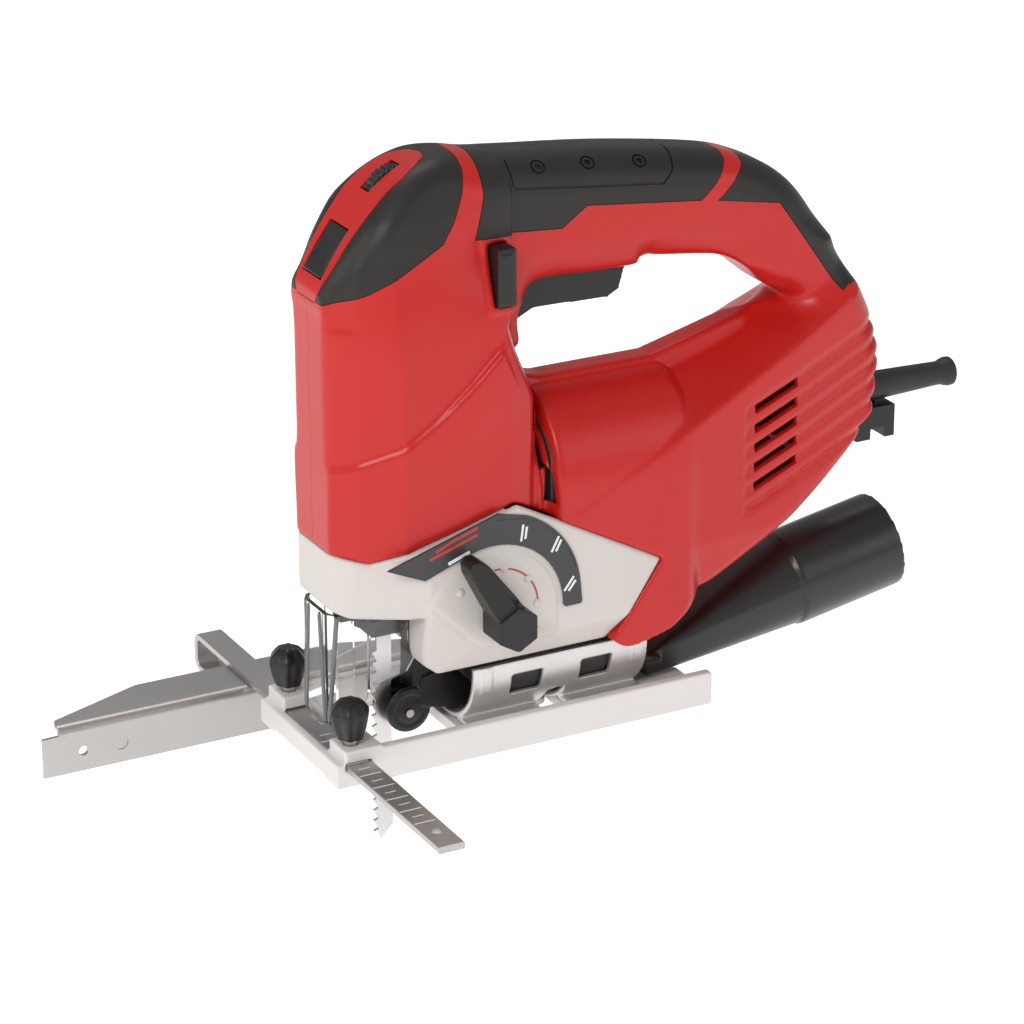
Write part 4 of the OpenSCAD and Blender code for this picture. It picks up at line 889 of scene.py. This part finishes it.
bar_path = [(reach, BAR_MID_Z) for reach in (-99, -60, 0, 60, 91)]
bar_path += bend((91.2, 3.4), 3.55, 90, 0) + [(94.75, -1.5)] + bend((91.2, -1.6), 3.55, 0, -90)
bar_path += [(82, -5.15), (75.5, -5.15)]
bar = bent_strip("guide_bar_strip", bar_path, [BAR_HALF] * len(bar_path), SCREW_X, BAR_THICK)
carve(bar, tube_tool("bar_hole", (SCREW_X, -88, 7), (0, 0, 1), 2, 0, 5))
marks = [SCALE_START + SCALE_STEP * k for k in range(SCALE_MARKS)]
for mark_y in marks:
    carve(bar, block_tool("mark", (-30, mark_y, 8.0), (-20.4, mark_y + 0.45, 9)))
    carve(bar, block_tool("half_mark", (-26.5, mark_y + 5, 8.05), (-22.5, mark_y + 5.4, 9)))
carve(bar, block_tool("scale_line", (-24.3, -84, 8.07), (-23.9, -8, 9)))
dress(bar, zinc, "guide", "zinc_steel", "guide_bar", sharp=30)
fills = []
for mark_y in marks:
    fills += [block_tool("fill", (-28.4, mark_y, 8.1), (-20.6, mark_y + 0.6, 8.24)),
              block_tool("fill", (-26.5, mark_y + 5, 8.1), (-22.5, mark_y + 5.5, 8.24))]
dress(joined("guide_scale", *fills), mark_white, "guide", "zinc_steel", sharp=30)

fence_path = [(reach, FENCE_TOP - FENCE_THICK / 2) for reach in (67.4, 60.4, 53.5, 49.6)]
fence_path += bend((49.6, FENCE_TOP - 3.1), 2.3, 100, 180)
fence_path += [(FENCE_MID_Y, drop) for drop in (2.4, -5, -12)]
fence_reach = [40, 58, 75.8, 77] + [77] * 8 + [82.9] * 3
fence = bent_strip("guide_fence_sheet", fence_path, fence_reach, SCREW_X, FENCE_THICK)
for side in (-1, 1):
    carve(fence, tube_tool("fence_hole", (SCREW_X + 68 * side, FENCE_MID_Y, -4.6), (0, 1, 0), 1.75, 0, 3))
    carve(fence, tube_tool("fence_dimple", (SCREW_X + 54 * side, 45.1, -4.6), (0, 1, 0), 2.6, 0, 1.7))
dress(fence, zinc, "guide", "zinc_steel", "guide_fence", sharp=40)

# ---------------------------------------------------------------------------
# Saw blade and blade guard. The blade is ground steel. The guard is clear
# acrylic, 1.6 mm thick, with two ribs moulded down each front corner.
ground_steel = metal_finish("ground_steel", (0.62, 0.61, 0.60), 0.3, 0.5, 0.01, 0.06, (0.08, 1, 1))
clear = bpy.data.materials.new("clear_acrylic")
clear.use_nodes = True
clear_shader = clear.node_tree.nodes["Principled BSDF"]
clear_shader.inputs["Base Color"].default_value = (0.97, 0.98, 0.98, 1)
clear_shader.inputs["Transmission Weight"].default_value = 1
clear_shader.inputs["IOR"].default_value = 1.4
cloud = clear.node_tree.nodes.new("ShaderNodeTexNoise")
cloud.inputs["Scale"].default_value = 90
polish = clear.node_tree.nodes.new("ShaderNodeMapRange")
polish.inputs["To Min"].default_value = 0.01
polish.inputs["To Max"].default_value = 0.06
clear.node_tree.links.new(cloud.outputs["Fac"], polish.inputs["Value"])
clear.node_tree.links.new(polish.outputs["Result"], clear_shader.inputs["Roughness"])
guard = twin(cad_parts["blade_guard"], "blade_guard_clear")
dress(guard, clear, "housing", "clear_guard", "blade_guard", sharp=30)
smoky = plastic_finish("guard_rib_smoke", (0.20, 0.20, 0.20), 0.15, 2, 0.01, 0.1)
smoky.node_tree.nodes["Principled BSDF"].inputs["Transmission Weight"].default_value = 0.35
RIB = [(0.5, -0.2), (0.85, 1), (0.85, 38), (0.5, 39.4)]
RIB_ENDS = [((-25.0, 4.2), (-25.0, 7.4)), ((-22.2, 11.6), (-24.4, 9.0))]
ribs = []
for side in (-1, 1):
    for (ax, ay), (bx, by) in RIB_ENDS:
        aim = (ax - bx, side * (ay - by), 39.4)
        ribs.append(turned("guard_rib", RIB, (bx, side * by, 14), aim, 14))
dress(joined("guard_ribs", *ribs), smoky, "housing", "clear_guard", sharp=50)

# ---------------------------------------------------------------------------
# Dust nozzle. One black nylon moulding: a plug in the cradle, a flattened neck
# and a round hose socket.
nozzle_black = plastic_finish("nozzle_black", (0.014, 0.0135, 0.013), 0.33, 0.4, 0.03, 0.12)
dress(softened("dust_nozzle_moulding", "dust_nozzle", 0.7, 3), nozzle_black, "dust_nozzle", "black_plastic",
      "dust_nozzle", sharp=50)

# ---------------------------------------------------------------------------
# Cord sleeve. A smooth rubber cone, pushed into the shells, that ends in a
# blunt flare.
rubber = plastic_finish("black_rubber", (0.02, 0.019, 0.018), 0.52, 0.3, 0.04, 0.12, 0.4)
SLEEVE = [(7.4, 175), (7.4, 179), (5.3, 179.6), (5.3, 190), (5.1, 200), (4.7, 212), (4.3, 222),
          (4.3, 224), (4.8, 225.2), (5.3, 227), (5.2, 228.6), (4.8, 229), (3.6, 229), (3.5, 228),
          (3.5, 190)]
sleeve = turned("cord_sleeve_rubber", [(r, h - 200) for r, h in SLEEVE], (200, 0, 94), (1, 0, 0), 48)
dress(sleeve, rubber, "housing", "black_rubber", "cord_sleeve", sharp=40)

# ---------------------------------------------------------------------------
# Works inside the shells and the fixings. Steel, bronze and carbon, each with the surface
# that machining or pressing leaves; the coils' copper is painted near black as painted shade.
machined = metal_finish("machined_steel", (0.45, 0.44, 0.43), 0.34, 0.3, 0.01, 0.08, (1, 1, 4))
screw_zinc = metal_finish("zinc_screw", (0.38, 0.37, 0.34), 0.4, 0.3, 0.01, 0.1)
bronze = metal_finish("sintered_bronze", (0.42, 0.27, 0.12), 0.5, 0.25, 0.03, 0.12)
laminate = metal_finish("laminated_steel", (0.12, 0.12, 0.125), 0.5, 0.5, 0.03, 0.15, (6, 1, 1))
# Painted shade: the coils and commutator are painted near black for the dark inside of the shells, seen
# through the waist vents.
winding_painted_shade = metal_finish("copper_painted_shade", (0.045, 0.014, 0.007), 0.5, 0.8, 0.08, 0.15, (1, 1, 5), 0.7)
felt_grey = plastic_finish("felt_grey", (0.12, 0.115, 0.11), 0.9, 0.6, 0.15, 0.2, 0.2)
carbon_black = plastic_finish("carbon_black", (0.02, 0.02, 0.021), 0.6, 0.3, 0.03, 0.2, 0.4)
board_green = plastic_finish("board_green", (0.02, 0.09, 0.04), 0.4, 0.8, 0.02, 0.12)
balance = metal_finish("balance_alloy", (0.30, 0.29, 0.28), 0.45, 0.5, 0.02, 0.08)
WORKS = [
    (machined, ["gear_axle", "front_bearing", "rear_bearing", "armature_shaft", "drive_gear", "crank_pin",
                "plunger_rod", "yoke", "lever_pin", "dial_pin", "roller_axle"]),
    (screw_zinc, ["housing_screws", "gear_housing_screws", "saddle_screws", "tilt_screw"]),
    (bronze, ["plunger_bushes", "brush_guides"]),
    (laminate, ["field_core", "armature_core"]),
    (winding_painted_shade, ["field_coils", "armature_windings", "commutator"]),
    (felt_grey, ["dust_seal"]),
    (carbon_black, ["carbon_brushes"]),
    (board_green, ["speed_board"]),
    (balance, ["balance_weight"]),
    (black_nylon, ["switch_body", "fan", "cord_clamp"]),
    (rubber, ["bearing_cup"]),
    (cast_paint, ["gear_frame"]),
    (ground_steel, ["saw_blade"]),
]
for finish, names in WORKS:
    for name in names:
        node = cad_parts[name]
        node.data.materials.clear()
        node.data.materials.append(finish)
        shade(node, 30)
